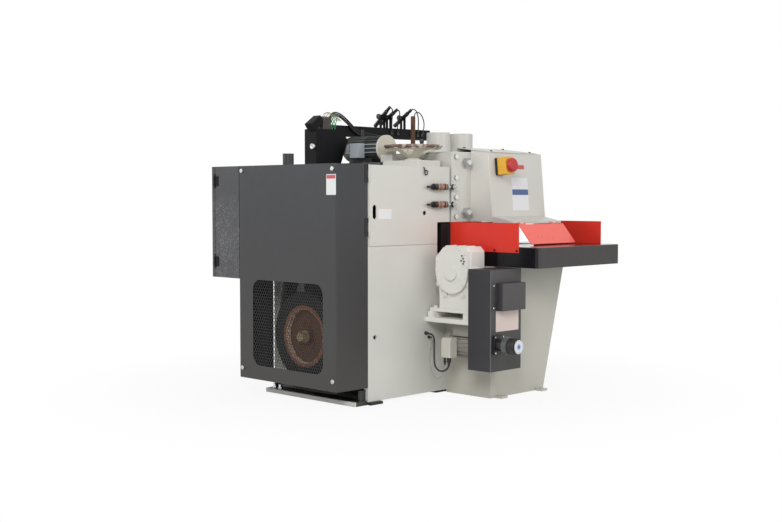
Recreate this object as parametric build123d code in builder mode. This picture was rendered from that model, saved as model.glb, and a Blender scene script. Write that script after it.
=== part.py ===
"""Multi-rip saw: a floor machine that rips boards on a chain feed under a row of saw blades.

Millimetres, +Z up. X is the feed direction (outfeed at +X), Y runs from the drive side to the open side.
The origin is on the floor, in the middle of the machine.
"""
import os
from math import acos, atan2, cos, degrees, radians, sin, tan

from build123d import *

os.makedirs("parts", exist_ok=True)

# Fits and clearances
running_gap = 0.08
air_gap = 0.5
panel_gap = 3.0

# Overall reaches, measured from the outfeed face and the seam behind the pulley cover
infeed_reach = 581.0
body_length = 735.0
outfeed_reach = 600.0
cover_depth = 216.0
table_right = 1343.0
cover_bolt_head = 8.0
guard_sheet = 3.0
screw_head = 4.0

front = (infeed_reach + body_length - outfeed_reach) / 2
back = front - body_length
left_reach = cover_depth + cover_bolt_head
right_reach = table_right + guard_sheet + screw_head
seam = (left_reach - right_reach) / 2

# Body cabinet
foot_height = 15.0
body_width = 618.0
body_top = 1217.0
body_wall = 6.0
door_seam_z = 806.0
door_sheet = 4.0
door_rim = 22.0
notch_width = 101.0
notch_bottom = 752.0
notch_top = 921.0

# Pulley cover and electrical cabinet
cover_length = 766.0
cover_bottom = 89.0
cover_top = 1220.0
cover_sheet = 3.0
window_left = 114.0
window_right = 100.0
window_bottom = 165.0
window_top = 619.0
window_corner = 55.0
mesh_sheet = 2.0
mesh_pitch = 30.0
mesh_hole = 12.0
mesh_border = 20.0
cover_bolt_radius = 12.0
cover_bolt_inset = 26.0
stub_radius = 29.0
stub_height = 62.0
cabinet_length = 238.0
cabinet_depth = 420.0
cabinet_bottom = 618.0
cabinet_sheet = 3.0
cabinet_door_depth = 26.0
hinge_height = 53.0

# Feed bed, tables and throat
table_bottom = 692.0
table_top = 798.0
table_corner = 22.0
bed_left = 640.0
bed_right = 1215.0
cheek_width = 56.0
cheek_left = body_width - cheek_width
cheek_top = 910.0
chain_width = 150.0
chain_centre = 990.0
chain_pad = 18.0
guard_length = 474.0
guard_bottom = 768.0
guard_top = 921.0

# Upper casting, hood and flap
casting_left = 631.0
casting_bottom = 921.0
casting_top = 1300.0
casting_wall = 12.0
hood_left = 791.0
hood_right = 1256.0
hood_sheet = 3.0
hood_reach_top = 122.0
hood_reach_bottom = 157.0
hood_top_back = 1313.0
hood_top_front = 1298.0
shelf_reach = 294.0
shelf_bottom = 911.0
shelf_rise = 39.0
flap_left = 824.0
flap_right = 1219.0
flap_length = 143.0
flap_lean = 40.0
flap_sheet = 3.0
flap_pin_radius = 3.0
flap_knuckle_radius = 6.0

# Saw arbor and main drive
arbor_x = -330.0
arbor_z = 965.0
arbor_radius = 35.0
arbor_housing_radius = 52.0
blade_radius = 160.0
blade_thickness = 4.0
blade_count = 4
blade_pitch = 70.0
blade_first = 885.0
motor_x = -317.0
motor_z = 338.0
motor_pulley_radius = 230.0
arbor_pulley_radius = 80.0
pulley_width = 110.0
pulley_back = -40.0
belt_count = 5
belt_width = 17.0
belt_thickness = 11.0
motor_shaft_radius = 24.0
motor_body_radius = 165.0
motor_body_length = 430.0

# Pressure frame
pressure_roller_radius = 45.0
roller_left = 850.0
roller_right = 1150.0
roller_pin_radius = 12.0
front_roller_x = -110.0
rear_roller_x = -545.0
finger_x = -690.0
finger_pin_radius = 8.0
lift_travel = 60.0

# Pedestal, gear reducer, feed motor and belt guard
pedestal_length = 310.0
pedestal_left = 593.0
pedestal_right_floor = 1042.0
pedestal_right_top = 1226.0
pedestal_sheet = 5.0
reducer_shelf_bottom = 396.0
reducer_shelf_top = 452.0
reducer_shelf_left = 424.0
reducer_left = 420.0
reducer_start = 58.0
reducer_end = 288.0
reducer_top = 798.0
reducer_axis_z = 662.0
reducer_cover_radius = 110.0
feed_motor_y = 522.0
feed_motor_z = 278.0
feed_motor_radius = 64.0
feed_motor_start = 96.0
case_length = 150.0
case_left = 413.0
case_right = 658.0
case_bottom = 171.0
case_top = 688.0
case_sheet = 2.0
knob_y = 466.0
knob_z = 308.0
knob_radius = 41.0
knob_end = 598.0

# Emergency stop
stop_y = 875.0
stop_z = 1220.0
stop_width = 68.0
stop_height = 94.0
stop_depth = 76.0
stop_button_radius = 38.0
stop_stem_radius = 12.0

# Lift unit
lift_x = -200.0
lift_y = 539.0
lift_screw_radius = 12.5
lift_screw_top = 1494.0
lift_wheel_z = 1330.0
lift_wheel_radius = 153.0
lift_rim_radius = 8.0
lift_motor_axis_z = 1326.0
lift_motor_radius = 72.0
lift_flange_radius = 74.0
lift_flange_x = -397.0
lift_motor_end = -705.0

# Laser beam, lasers and dust ports
beam_x = 45.0 - body_length
beam_side = 60.0
beam_left = 291.0
beam_right = 1172.0
beam_bottom = 1400.0
laser_places = {"near_laser": 793.0, "middle_laser": 845.0, "far_laser": 965.0}
laser_tilts = {"near_laser": 41.0, "middle_laser": 30.0, "far_laser": 33.0}
laser_radius = 12.0
laser_length = 165.0
laser_pivot_z = 1527.0
laser_pin_radius = 4.0
port_places = (852.0, 1051.0)
port_x = -300.0
port_radius = 66.0
port_top = 1420.0
port_sheet = 3.0


def save(piece, name):
    """Label a finished piece and write it to its own file."""
    piece.part.label = name
    export_step(piece.part, f"parts/{name}.step")


def block(x0, x1, y0, y1, z0, z1, mode=Mode.ADD):
    """A box between two corners, X from the outfeed face and Y from the seam."""
    with Locations((front + (x0 + x1) / 2, seam + (y0 + y1) / 2, (z0 + z1) / 2)):
        return Box(x1 - x0, y1 - y0, z1 - z0, mode=mode)


def rod(axis, start, length, radius, mode=Mode.ADD):
    """A cylinder along an axis ("X", "Y" or "Z") from a start point, in the same coordinates as block."""
    turn = {"X": (0, 90, 0), "Y": (-90, 0, 0), "Z": (0, 0, 0)}[axis]
    with Locations((front + start[0], seam + start[1], start[2])):
        return Cylinder(
            radius, length, rotation=turn, align=(Align.CENTER, Align.CENTER, Align.MIN), mode=mode
        )


def side_plane(y):
    """An upright plane along the feed at y: sketch X is machine X, sketch Y is Z, and the normal is -Y."""
    return Plane(origin=(front, seam + y, 0), x_dir=(1, 0, 0), z_dir=(0, -1, 0))


def face_plane(x):
    """A plane across the feed at x: sketch X is machine Y, sketch Y is Z, and the normal is +X."""
    return Plane(origin=(front + x, seam, 0), x_dir=(0, 1, 0), z_dir=(1, 0, 0))


# Base rail on the floor along the drive side, with an upright tab near each end
rail_length = 694.0
rail_end = 6.0
rail_width = 90.0
rail_height = 23.0
tab_height = 52.0
tab_length = 12.0
tab_width = 40.0
with BuildPart() as base_rail:
    block(-rail_end - rail_length, -rail_end, -rail_width, 0, 0, rail_height)
    for tab_x in (-rail_end - rail_length + tab_length, -rail_end - 2 * tab_length):
        block(tab_x, tab_x + tab_length, -tab_width, 0, rail_height, rail_height + tab_height)
    fillet(base_rail.edges().filter_by(Axis.X).group_by(Axis.Y)[0], 3)
save(base_rail, "base_rail")

# Rubber pads under the body corners
pad_side = 87.0
pad_overhang = 18.0
with BuildPart() as rubber_feet:
    for pad_x, pad_y in (
        (pad_overhang - pad_side, panel_gap),
        (-body_length, panel_gap),
        (-body_length, body_width - pad_side),
        (-pad_side - pad_overhang, body_width - pad_side),
    ):
        block(pad_x, pad_x + pad_side, pad_y, pad_y + pad_side, 0, foot_height)
    chamfer(rubber_feet.edges().group_by(Axis.Z)[-1], 3)
save(rubber_feet, "rubber_feet")

# Welded body cabinet, open behind the access door and round the bed cheek
rim_x = -(door_sheet + air_gap)
shaft_hole_radius = arbor_radius + 10
lift_slot_width = 70.0
lift_arm_height = 40.0
lift_arm_z = 1100.0
cable_hole_y = 50.0
cable_hole_z = 341.0
cable_hole_radius = 12.5
low_opening_start = -690.0
low_opening_end = -30.0
low_opening_top = 110.0
with BuildPart() as body_cabinet:
    block(-body_length, 0, 0, body_width, foot_height, door_seam_z - panel_gap)
    block(-body_length, rim_x, 0, body_width, door_seam_z - panel_gap, body_top)
    block(
        -body_length + body_wall, rim_x - body_wall, body_wall, body_width - body_wall,
        foot_height + body_wall, body_top - body_wall, mode=Mode.SUBTRACT,
    )
    block(
        rim_x - 2 * body_wall, 0, door_rim, body_width - door_rim,
        door_seam_z + door_rim, body_top - door_rim, mode=Mode.SUBTRACT,
    )
    # Window in the open-side wall for the bed cheek, with the notch in the front panel
    block(
        -body_length, 0, body_width - notch_width, body_width, notch_bottom, notch_top, mode=Mode.SUBTRACT
    )
    # Shaft holes in the drive-side wall, and the arbor hole in the open-side wall
    rod("Y", (arbor_x, -body_wall, arbor_z), body_width + 2 * body_wall, shaft_hole_radius, Mode.SUBTRACT)
    rod("Y", (motor_x, -body_wall, motor_z), 3 * body_wall, motor_shaft_radius + 10, Mode.SUBTRACT)
    # Opening low in the drive-side wall, under the pulley cover
    block(
        low_opening_start, low_opening_end, -body_wall, 2 * body_wall, foot_height + body_wall,
        low_opening_top,
        mode=Mode.SUBTRACT,
    )
    # Cable hole low in the front panel
    rod("X", (-2 * body_wall, cable_hole_y, cable_hole_z), 3 * body_wall, cable_hole_radius, Mode.SUBTRACT)
    # Hole for the lift screw in the roof, and the slot for the lift arm in the open-side wall
    rod("Z", (lift_x, lift_y, body_top - 2 * body_wall), 3 * body_wall, lift_screw_radius + 8, Mode.SUBTRACT)
    block(
        lift_x - lift_slot_width / 2, lift_x + lift_slot_width / 2, body_width - 2 * body_wall, body_width,
        lift_arm_z - lift_arm_height, lift_arm_z + lift_arm_height + lift_travel, mode=Mode.SUBTRACT,
    )
save(body_cabinet, "body_cabinet")

# Access door: a flanged sheet hung on its left edge, with a finger slot, a peg hole and a corner notch
door_left = 10.0
door_right = 615.0
door_pivot_x = 5.0
door_pivot_y = 4.0
door_knuckle_radius = 4.0
door_pin_radius = 2.0
door_knuckle_height = 46.0
door_pivot_heights = (880.0, 1150.0)
slot_y = 47.0
slot_z = 979.0
slot_width = 26.0
slot_height = 72.0
peg_hole_y = 417.0
peg_hole_z = 971.0
peg_hole_radius = 12.0
with BuildPart() as access_door:
    block(-door_sheet, 0, door_left, door_right, door_seam_z, body_top)
    with BuildSketch(face_plane(0)):
        with Locations((slot_y, slot_z)):
            SlotOverall(slot_height, slot_width, rotation=90)
        with Locations((peg_hole_y, peg_hole_z)):
            Circle(peg_hole_radius)
    extrude(amount=-2 * door_sheet, mode=Mode.SUBTRACT)
    block(
        -2 * door_sheet, door_sheet, body_width - notch_width, door_right + 1, door_seam_z - 1, notch_top,
        mode=Mode.SUBTRACT,
    )
    for knuckle_z in door_pivot_heights:
        block(-door_sheet, 0, door_pivot_y, door_left, knuckle_z, knuckle_z + door_knuckle_height)
        block(0, door_pivot_x, door_pivot_y, door_left, knuckle_z, knuckle_z + door_knuckle_height)
        rod("Z", (door_pivot_x, door_pivot_y, knuckle_z), door_knuckle_height, door_knuckle_radius)
        rod(
            "Z", (door_pivot_x, door_pivot_y, knuckle_z), door_knuckle_height,
            door_pin_radius + running_gap, Mode.SUBTRACT,
        )
save(access_door, "access_door")

# Pulley cover: a sheet box open towards the body and the floor, with a window for the mesh
window_x0 = -cover_length + window_left
window_x1 = -window_right
cover_bolt_places = [
    (x, z)
    for x in (-cover_length + cover_bolt_inset, -cover_bolt_inset)
    for z in (cover_bottom + 2 * cover_bolt_inset, cover_top - cover_bolt_inset)
]
bolt_shank_radius = 5.0
bolt_shank = 14.0
stub_x = -495.0
stub_y = -100.0
window_plane = side_plane(-cover_depth)
with BuildPart() as pulley_cover:
    block(-cover_length, 0, -cover_depth, 0, cover_bottom, cover_top)
    fillet(pulley_cover.edges().filter_by(Axis.Z).group_by(Axis.Y)[0], 6)
    block(
        -cover_length + cover_sheet, -cover_sheet, -cover_depth + cover_sheet, 0,
        cover_bottom, cover_top - cover_sheet, mode=Mode.SUBTRACT,
    )
    with BuildSketch(window_plane):
        with Locations(((window_x0 + window_x1) / 2, (window_bottom + window_top) / 2)):
            RectangleRounded(window_x1 - window_x0, window_top - window_bottom, window_corner)
        with Locations(*cover_bolt_places):
            Circle(bolt_shank_radius + running_gap)
    extrude(amount=-2 * cover_sheet, mode=Mode.SUBTRACT)
    rod("Z", (stub_x, stub_y, cover_top), stub_height, stub_radius)
    rod("Z", (stub_x, stub_y, cover_top + cover_sheet), stub_height, stub_radius - cover_sheet, Mode.SUBTRACT)
save(pulley_cover, "pulley_cover")

# Mesh screen behind the window, hexagonal holes in staggered rows
mesh_x = (window_x0 + window_x1) / 2
mesh_z = (window_bottom + window_top) / 2
mesh_columns = int((window_x1 - window_x0) / mesh_pitch)
mesh_rows = int((window_top - window_bottom) / mesh_pitch / 0.866)
with BuildPart() as cover_mesh:
    with BuildSketch(side_plane(-cover_depth + cover_sheet)):
        with Locations((mesh_x, mesh_z)):
            Rectangle(window_x1 - window_x0 + 2 * mesh_border, window_top - window_bottom + 2 * mesh_border)
        with Locations((mesh_x, mesh_z)):
            with HexLocations(mesh_pitch / 2, mesh_columns, mesh_rows):
                RegularPolygon(mesh_hole, 6, mode=Mode.SUBTRACT)
    extrude(amount=-mesh_sheet)
save(cover_mesh, "cover_mesh")

# Round-head bolts of the pulley cover
with BuildPart() as cover_bolts:
    for bolt_x, bolt_z in cover_bolt_places:
        rod("Y", (bolt_x, -cover_depth, bolt_z), bolt_shank, bolt_shank_radius)
        rod("Y", (bolt_x, -cover_depth - cover_bolt_head, bolt_z), cover_bolt_head, cover_bolt_radius)
    fillet(cover_bolts.edges().filter_by(GeomType.CIRCLE).group_by(Axis.Y)[0], 4)
save(cover_bolts, "cover_bolts")

# Electrical cabinet: a sheet box open where its door closes it
cabinet_back = -cover_length
cabinet_front = -cover_length - cabinet_length + cabinet_door_depth
cabinet_y0 = -cover_depth
cabinet_y1 = cabinet_y0 + cabinet_depth
hinge_heights = (704.0, 1141.0)
hinge_radius = 6.0
hinge_pin = 3.0
hinge_knuckle = 10.0
hinge_x = cabinet_front
hinge_y = cabinet_y0 - 1.5
hinge_recess = 10.0


def cut_hinge_recess():
    """Room for the two hinge barrels in the corner between the cabinet and its door."""
    for hinge_z in hinge_heights:
        block(
            hinge_x - hinge_recess, hinge_x + hinge_recess, cabinet_y0 - 1, hinge_y + hinge_recess,
            hinge_z - hinge_height / 2 - hinge_knuckle - 2, hinge_z + hinge_height / 2 + hinge_knuckle + 2,
            mode=Mode.SUBTRACT,
        )


with BuildPart() as electrical_cabinet:
    block(cabinet_front, cabinet_back, cabinet_y0, cabinet_y1, cabinet_bottom, cover_top)
    block(
        cabinet_front, cabinet_back - cabinet_sheet, cabinet_y0 + cabinet_sheet, cabinet_y1 - cabinet_sheet,
        cabinet_bottom + cabinet_sheet, cover_top - cabinet_sheet, mode=Mode.SUBTRACT,
    )
    # Mounting plate for the switchgear on the back wall
    block(
        cabinet_back - 5 * cabinet_sheet, cabinet_back - cabinet_sheet, cabinet_y0 + 60, cabinet_y1 - 60,
        cabinet_bottom + 60, cover_top - 60,
    )
    cut_hinge_recess()
save(electrical_cabinet, "electrical_cabinet")

# Cabinet door: a shallow tray with a knuckle above and below each hinge barrel
cabinet_door_x0 = -cover_length - cabinet_length
cabinet_door_x1 = cabinet_front - air_gap
with BuildPart() as cabinet_door:
    block(cabinet_door_x0, cabinet_door_x1, cabinet_y0, cabinet_y1, cabinet_bottom, cover_top)
    fillet(cabinet_door.edges().group_by(Axis.X)[0], 4)
    block(
        cabinet_door_x0 + cabinet_sheet, cabinet_door_x1, cabinet_y0 + cabinet_sheet,
        cabinet_y1 - cabinet_sheet,
        cabinet_bottom + cabinet_sheet, cover_top - cabinet_sheet, mode=Mode.SUBTRACT,
    )
    cut_hinge_recess()
    for hinge_z in hinge_heights:
        for knuckle_z in (hinge_z - hinge_height / 2 - hinge_knuckle, hinge_z + hinge_height / 2):
            low = knuckle_z + air_gap
            tall = hinge_knuckle - 2 * air_gap
            block(hinge_x - hinge_recess - 1, hinge_x, hinge_y, hinge_y + hinge_radius, low, low + tall)
            rod("Z", (hinge_x, hinge_y, low), tall, hinge_radius)
            rod("Z", (hinge_x, hinge_y, low), tall, hinge_pin + running_gap, Mode.SUBTRACT)
save(cabinet_door, "cabinet_door")

# Hinge barrels with their pins and leaves, for the cabinet door and the access door
leaf_sheet = 2.0
leaf_length = 34.0
door_leaf_width = 22.0
with BuildPart() as door_hinges:
    for hinge_z in hinge_heights:
        low = hinge_z - hinge_height / 2
        rod("Z", (hinge_x, hinge_y, low), hinge_height, hinge_radius)
        rod("Z", (hinge_x, hinge_y, low - hinge_knuckle), hinge_height + 2 * hinge_knuckle, hinge_pin)
        block(
            hinge_x, hinge_x + leaf_length, cabinet_y0 - leaf_sheet, cabinet_y0, low, low + hinge_height
        )
    for knuckle_z in door_pivot_heights:
        top = knuckle_z + door_knuckle_height
        rod(
            "Z", (door_pivot_x, door_pivot_y, knuckle_z - door_knuckle_height / 2),
            2 * door_knuckle_height, door_pin_radius,
        )
        for lug_z in (knuckle_z - door_knuckle_height / 2, top + air_gap):
            lug_height = door_knuckle_height / 2 - air_gap
            rod("Z", (door_pivot_x, door_pivot_y, lug_z), lug_height, door_knuckle_radius)
            block(0, door_pivot_x, -leaf_sheet, door_pivot_y, lug_z, lug_z + lug_height)
        block(
            0, leaf_sheet, -door_leaf_width, 0,
            knuckle_z - door_knuckle_height / 2, top + door_knuckle_height / 2,
        )
save(door_hinges, "door_hinges")

# Black side cheek and chain bed, with the infeed table in one casting
infeed_end = -body_length - infeed_reach
chain_left = chain_centre - chain_width / 2
chain_right = chain_centre + chain_width / 2
chain_clear = 4.0
chain_nose_x = -620.0
sprocket_x = 150.0
sprocket_z = 700.0
chain_outer = table_top - sprocket_z
chain_inner = chain_outer - 36
bed_skirt = 14.0
bed_plate = 30.0
nose_cheek = 16.0
with BuildPart() as feed_bed:
    block(infeed_end, -air_gap, bed_left, bed_right, table_bottom, table_top)
    fillet(feed_bed.edges().filter_by(Axis.Z).group_by(Axis.X)[0], table_corner)
    block(
        infeed_end + bed_skirt, -air_gap - bed_skirt, bed_left + bed_skirt, bed_right - bed_skirt,
        table_bottom, table_top - bed_plate, mode=Mode.SUBTRACT,
    )
    block(-body_length, -2 * body_wall, cheek_left, bed_left, notch_bottom + 4, cheek_top)
    # Trough for the chain, open at the outfeed end, with a round nose that turns the chain
    block(
        chain_nose_x - chain_outer - chain_clear, 0, chain_left - chain_clear, chain_right + chain_clear,
        table_bottom, table_top, mode=Mode.SUBTRACT,
    )
    for cheek_y in (chain_left - chain_clear - nose_cheek, chain_right + chain_clear):
        block(
            chain_nose_x - chain_inner, chain_nose_x + chain_inner, cheek_y, cheek_y + nose_cheek,
            sprocket_z - chain_inner, table_top - bed_plate,
        )
    rod("Y", (chain_nose_x, chain_left - chain_clear, sprocket_z), chain_width + 2 * chain_clear,
        chain_inner - air_gap)
save(feed_bed, "feed_bed")

# Outfeed table: a skirted top with a slot where the chain turns down
table_left = pedestal_left + 27
table_skirt = 12.0
table_plate = 28.0
sprocket_shaft_radius = 20.0
shaft_relief = 8.0
with BuildPart() as outfeed_table:
    block(air_gap, outfeed_reach, table_left, table_right, table_bottom, table_top)
    fillet(outfeed_table.edges().filter_by(Axis.Z).group_by(Axis.X)[-1], table_corner)
    fillet(outfeed_table.edges().group_by(Axis.Z)[-1], 6)
    block(
        air_gap + table_skirt, outfeed_reach - table_skirt, table_left + table_skirt,
        table_right - table_skirt,
        table_bottom, table_top - table_plate, mode=Mode.SUBTRACT,
    )
    block(
        0, sprocket_x + chain_outer + chain_clear, chain_left - chain_clear, chain_right + chain_clear,
        table_bottom, table_top, mode=Mode.SUBTRACT,
    )
    rod("Y", (sprocket_x, table_left, sprocket_z), table_skirt, sprocket_shaft_radius + shaft_relief,
        Mode.SUBTRACT)
save(outfeed_table, "outfeed_table")

# Feed chain: a padded loop from the nose to the drive sprocket
pad_pitch = 50.0
pad_groove = 6.0
chain_mid = (chain_nose_x + sprocket_x) / 2
chain_span = sprocket_x - chain_nose_x
with BuildPart() as feed_chain:
    with BuildSketch(side_plane(chain_left)):
        with Locations((chain_mid, sprocket_z)):
            SlotCenterToCenter(chain_span, 2 * chain_outer)
            SlotCenterToCenter(chain_span, 2 * chain_inner, mode=Mode.SUBTRACT)
    extrude(amount=-chain_width)
    for step in range(int(chain_span / pad_pitch) + 1):
        groove_x = chain_nose_x + step * pad_pitch
        block(
            groove_x - pad_groove / 2, groove_x + pad_groove / 2, chain_left, chain_right,
            table_top - chain_pad, table_top, mode=Mode.SUBTRACT,
        )
save(feed_chain, "feed_chain")

# Drive sprocket on its shaft, from the gear reducer across the pedestal
sprocket_teeth = 12
sprocket_tooth = 14.0
shaft_start = 560.0
shaft_end = 1110.0
with BuildPart() as drive_sprocket:
    rod("Y", (sprocket_x, shaft_start, sprocket_z), shaft_end - shaft_start, sprocket_shaft_radius)
    rod("Y", (sprocket_x, chain_left + 20, sprocket_z), chain_width - 40, chain_inner - sprocket_tooth)
    with BuildSketch(side_plane(chain_centre - 15)):
        with Locations((sprocket_x, sprocket_z)):
            Circle(chain_inner - sprocket_tooth)
            with PolarLocations(chain_inner - sprocket_tooth, sprocket_teeth):
                Rectangle(sprocket_tooth, sprocket_tooth)
    extrude(amount=-30)
save(drive_sprocket, "drive_sprocket")

# Red guard walls on both ends of the outfeed table
guard_screw_places = (guard_length - 12, guard_length - 160)
guard_screw_z = guard_bottom + 10
guard_screw_radius = 6.0
with BuildPart() as guard_walls:
    for wall_y in (table_left - guard_sheet, table_right):
        block(2 * panel_gap, guard_length, wall_y, wall_y + guard_sheet, guard_bottom, guard_top)
save(guard_walls, "guard_walls")

# Upper casting over the feed bed, bolted to the open side of the body
casting_right = bed_right
finger_z = 940.0
pad_inset = 40.0
with BuildPart() as upper_casting:
    block(-body_length, 0, casting_left, casting_right, casting_bottom, casting_top)
    fillet(upper_casting.edges().filter_by(Axis.X).group_by(Axis.Z)[-1], 14)
    block(
        -body_length + casting_wall, -casting_wall, casting_left + casting_wall, casting_right - casting_wall,
        casting_bottom, casting_top - casting_wall, mode=Mode.SUBTRACT,
    )
    # Mounting pad against the body
    block(-body_length + pad_inset, -pad_inset, body_width, casting_left, casting_bottom + 10, body_top - 15)
    for port_y in port_places:
        rod("Z", (port_x, port_y, casting_top - 2 * casting_wall), 3 * casting_wall, port_radius - port_sheet,
            Mode.SUBTRACT)
    rod("Y", (arbor_x, body_width, arbor_z), 3 * casting_wall, shaft_hole_radius, Mode.SUBTRACT)
    block(
        lift_x - lift_slot_width / 2, lift_x + lift_slot_width / 2, body_width, casting_left + casting_wall,
        lift_arm_z - lift_arm_height, lift_arm_z + lift_arm_height + lift_travel, mode=Mode.SUBTRACT,
    )
    # Cross shaft that the kickback fingers hang on
    rod("Y", (finger_x, casting_left + 2, finger_z), casting_right - casting_left - 4, finger_pin_radius)
save(upper_casting, "upper_casting")

# Bolts and large nuts on the casting's front flange
flange_bolt_y = 663.0
flange_nut_y = 738.0
flange_bolt_heights = (949.0, 1054.0, 1159.0, 1273.0)
flange_nut_heights = (972.0, 1243.0)
flange_bolt_radius = 14.0
flange_bolt_height = 11.0
nut_washer_radius = 32.0
nut_washer_height = 5.0
flange_nut_radius = 27.0
flange_nut_height = 24.0
nut_stud_radius = 14.0
nut_stud_height = 10.0
with BuildPart() as casting_bolts:
    for bolt_z in flange_bolt_heights:
        with BuildSketch(face_plane(0)):
            with Locations((flange_bolt_y, bolt_z)):
                RegularPolygon(flange_bolt_radius, 6)
        extrude(amount=flange_bolt_height)
    for nut_z in flange_nut_heights:
        rod("X", (0, flange_nut_y, nut_z), nut_washer_height, nut_washer_radius)
        with BuildSketch(face_plane(nut_washer_height)):
            with Locations((flange_nut_y, nut_z)):
                RegularPolygon(flange_nut_radius, 6)
        extrude(amount=flange_nut_height)
        rod("X", (nut_washer_height + flange_nut_height, flange_nut_y, nut_z), nut_stud_height,
            nut_stud_radius)
save(casting_bolts, "casting_bolts")

# Saw hood: a leaning sheet box on the front of the casting, open below
hood_outline = [
    (0, casting_bottom),
    (hood_reach_bottom, casting_bottom),
    (hood_reach_top, hood_top_front),
    (0, hood_top_back),
]
with BuildPart() as saw_hood:
    with BuildSketch(side_plane(hood_left)):
        with BuildLine():
            Polyline(*hood_outline, close=True)
        make_face()
    extrude(amount=-(hood_right - hood_left))
    with BuildSketch(side_plane(hood_left + hood_sheet)):
        with BuildLine():
            Polyline(*hood_outline, close=True)
        make_face()
        offset(amount=-hood_sheet, kind=Kind.INTERSECTION)
    extrude(amount=-(hood_right - hood_left - 2 * hood_sheet), mode=Mode.SUBTRACT)
    block(
        hood_sheet, hood_reach_bottom - 2 * hood_sheet, hood_left + hood_sheet, hood_right - hood_sheet,
        casting_bottom - 1, casting_bottom + 2 * hood_sheet, mode=Mode.SUBTRACT,
    )
save(saw_hood, "saw_hood")

# Cover plate on the sloping top of the hood, reaching back over the casting to a lip that rests on its roof
plate_overhang = 5.0
plate_back = -105.0
plate_right = 1200.0
plate_slope = (hood_top_back - hood_top_front) / hood_reach_top
plate_sheet = 4.0
with BuildPart() as hood_top_plate:
    with BuildSketch(side_plane(hood_left - plate_overhang)):
        with BuildLine():
            Polyline(
                (plate_back, casting_top),
                (plate_back + plate_sheet, casting_top),
                (plate_back + plate_sheet, hood_top_back - plate_slope * (plate_back + plate_sheet)),
                (hood_reach_top + plate_overhang, hood_top_front - plate_slope * plate_overhang),
                (hood_reach_top + plate_overhang,
                 hood_top_front - plate_slope * plate_overhang + plate_sheet),
                (plate_back, hood_top_back - plate_slope * plate_back + plate_sheet),
                close=True,
            )
        make_face()
    extrude(amount=-(plate_right - hood_left + plate_overhang))
save(hood_top_plate, "hood_top_plate")

# Canopy shelf under the hood's front edge, an open-bottomed wedge of sheet
hood_lean = degrees(atan2(hood_reach_bottom - hood_reach_top, hood_top_front - casting_bottom))


def hood_face_x(z):
    """X of the hood's leaning front face at a height."""
    return hood_reach_bottom - (z - casting_bottom) * tan(radians(hood_lean))


shelf_top = shelf_bottom + shelf_rise
shelf_lip = 10.0
shelf_outline = [
    (hood_reach_bottom, shelf_bottom),
    (hood_reach_bottom, casting_bottom),
    (hood_face_x(shelf_top), shelf_top),
    (shelf_reach, shelf_bottom + shelf_lip),
    (shelf_reach, shelf_bottom),
]
with BuildPart() as canopy_shelf:
    with BuildSketch(side_plane(hood_left)):
        with BuildLine():
            Polyline(*shelf_outline, close=True)
        make_face()
    extrude(amount=-(flap_right - hood_left))
    with BuildSketch(side_plane(hood_left + hood_sheet)):
        with BuildLine():
            Polyline(*shelf_outline, close=True)
        make_face()
        offset(amount=-hood_sheet, kind=Kind.INTERSECTION)
    extrude(amount=-(flap_right - hood_left - 2 * hood_sheet), mode=Mode.SUBTRACT)
    block(
        hood_reach_bottom + hood_sheet, shelf_reach - hood_sheet, hood_left + hood_sheet,
        flap_right - hood_sheet,
        shelf_bottom - 1, shelf_bottom + 2 * hood_sheet, mode=Mode.SUBTRACT,
    )
save(canopy_shelf, "canopy_shelf")

# Flap hinges on the shelf's front lip
flap_axis_x = shelf_reach + flap_knuckle_radius + 1
flap_axis_z = shelf_bottom + 3
flap_hinge_places = (856.0, 1142.0)
flap_barrel = 30.0
flap_knuckle = 14.0
with BuildPart() as flap_hinges:
    for hinge_place in flap_hinge_places:
        low = hinge_place - flap_barrel / 2
        rod("Y", (flap_axis_x, low, flap_axis_z), flap_barrel, flap_knuckle_radius)
        rod("Y", (flap_axis_x, low - flap_knuckle, flap_axis_z), flap_barrel + 2 * flap_knuckle,
            flap_pin_radius)
        block(shelf_reach, flap_axis_x, low, low + flap_barrel, shelf_bottom, shelf_bottom + shelf_lip)
save(flap_hinges, "flap_hinges")

# Red flap, leaning out from its hinge line until it almost rests on the table
flap_start = 8.0
flap_plane = Plane(
    origin=(front + flap_axis_x, seam, flap_axis_z),
    x_dir=(0, 1, 0),
    z_dir=(cos(radians(flap_lean)), 0, sin(radians(flap_lean))),
)
with BuildPart() as red_flap:
    with BuildSketch(flap_plane.offset(-flap_sheet / 2)):
        with Locations(((flap_left + flap_right) / 2, -(flap_start + flap_length) / 2)):
            Rectangle(flap_right - flap_left, flap_length - flap_start)
        for hinge_place in flap_hinge_places:
            for side in (-1, 1):
                with Locations((hinge_place + side * (flap_barrel + flap_knuckle) / 2, -flap_start / 2)):
                    Rectangle(flap_knuckle - 2 * air_gap, flap_start + 1)
    extrude(amount=flap_sheet)
    for hinge_place in flap_hinge_places:
        for side in (-1, 1):
            low = hinge_place + side * (flap_barrel + flap_knuckle) / 2 - flap_knuckle / 2 + air_gap
            rod("Y", (flap_axis_x, low, flap_axis_z), flap_knuckle - 2 * air_gap, flap_knuckle_radius)
            rod("Y", (flap_axis_x, low, flap_axis_z), flap_knuckle - 2 * air_gap,
                flap_pin_radius + running_gap, Mode.SUBTRACT)
save(red_flap, "red_flap")

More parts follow.
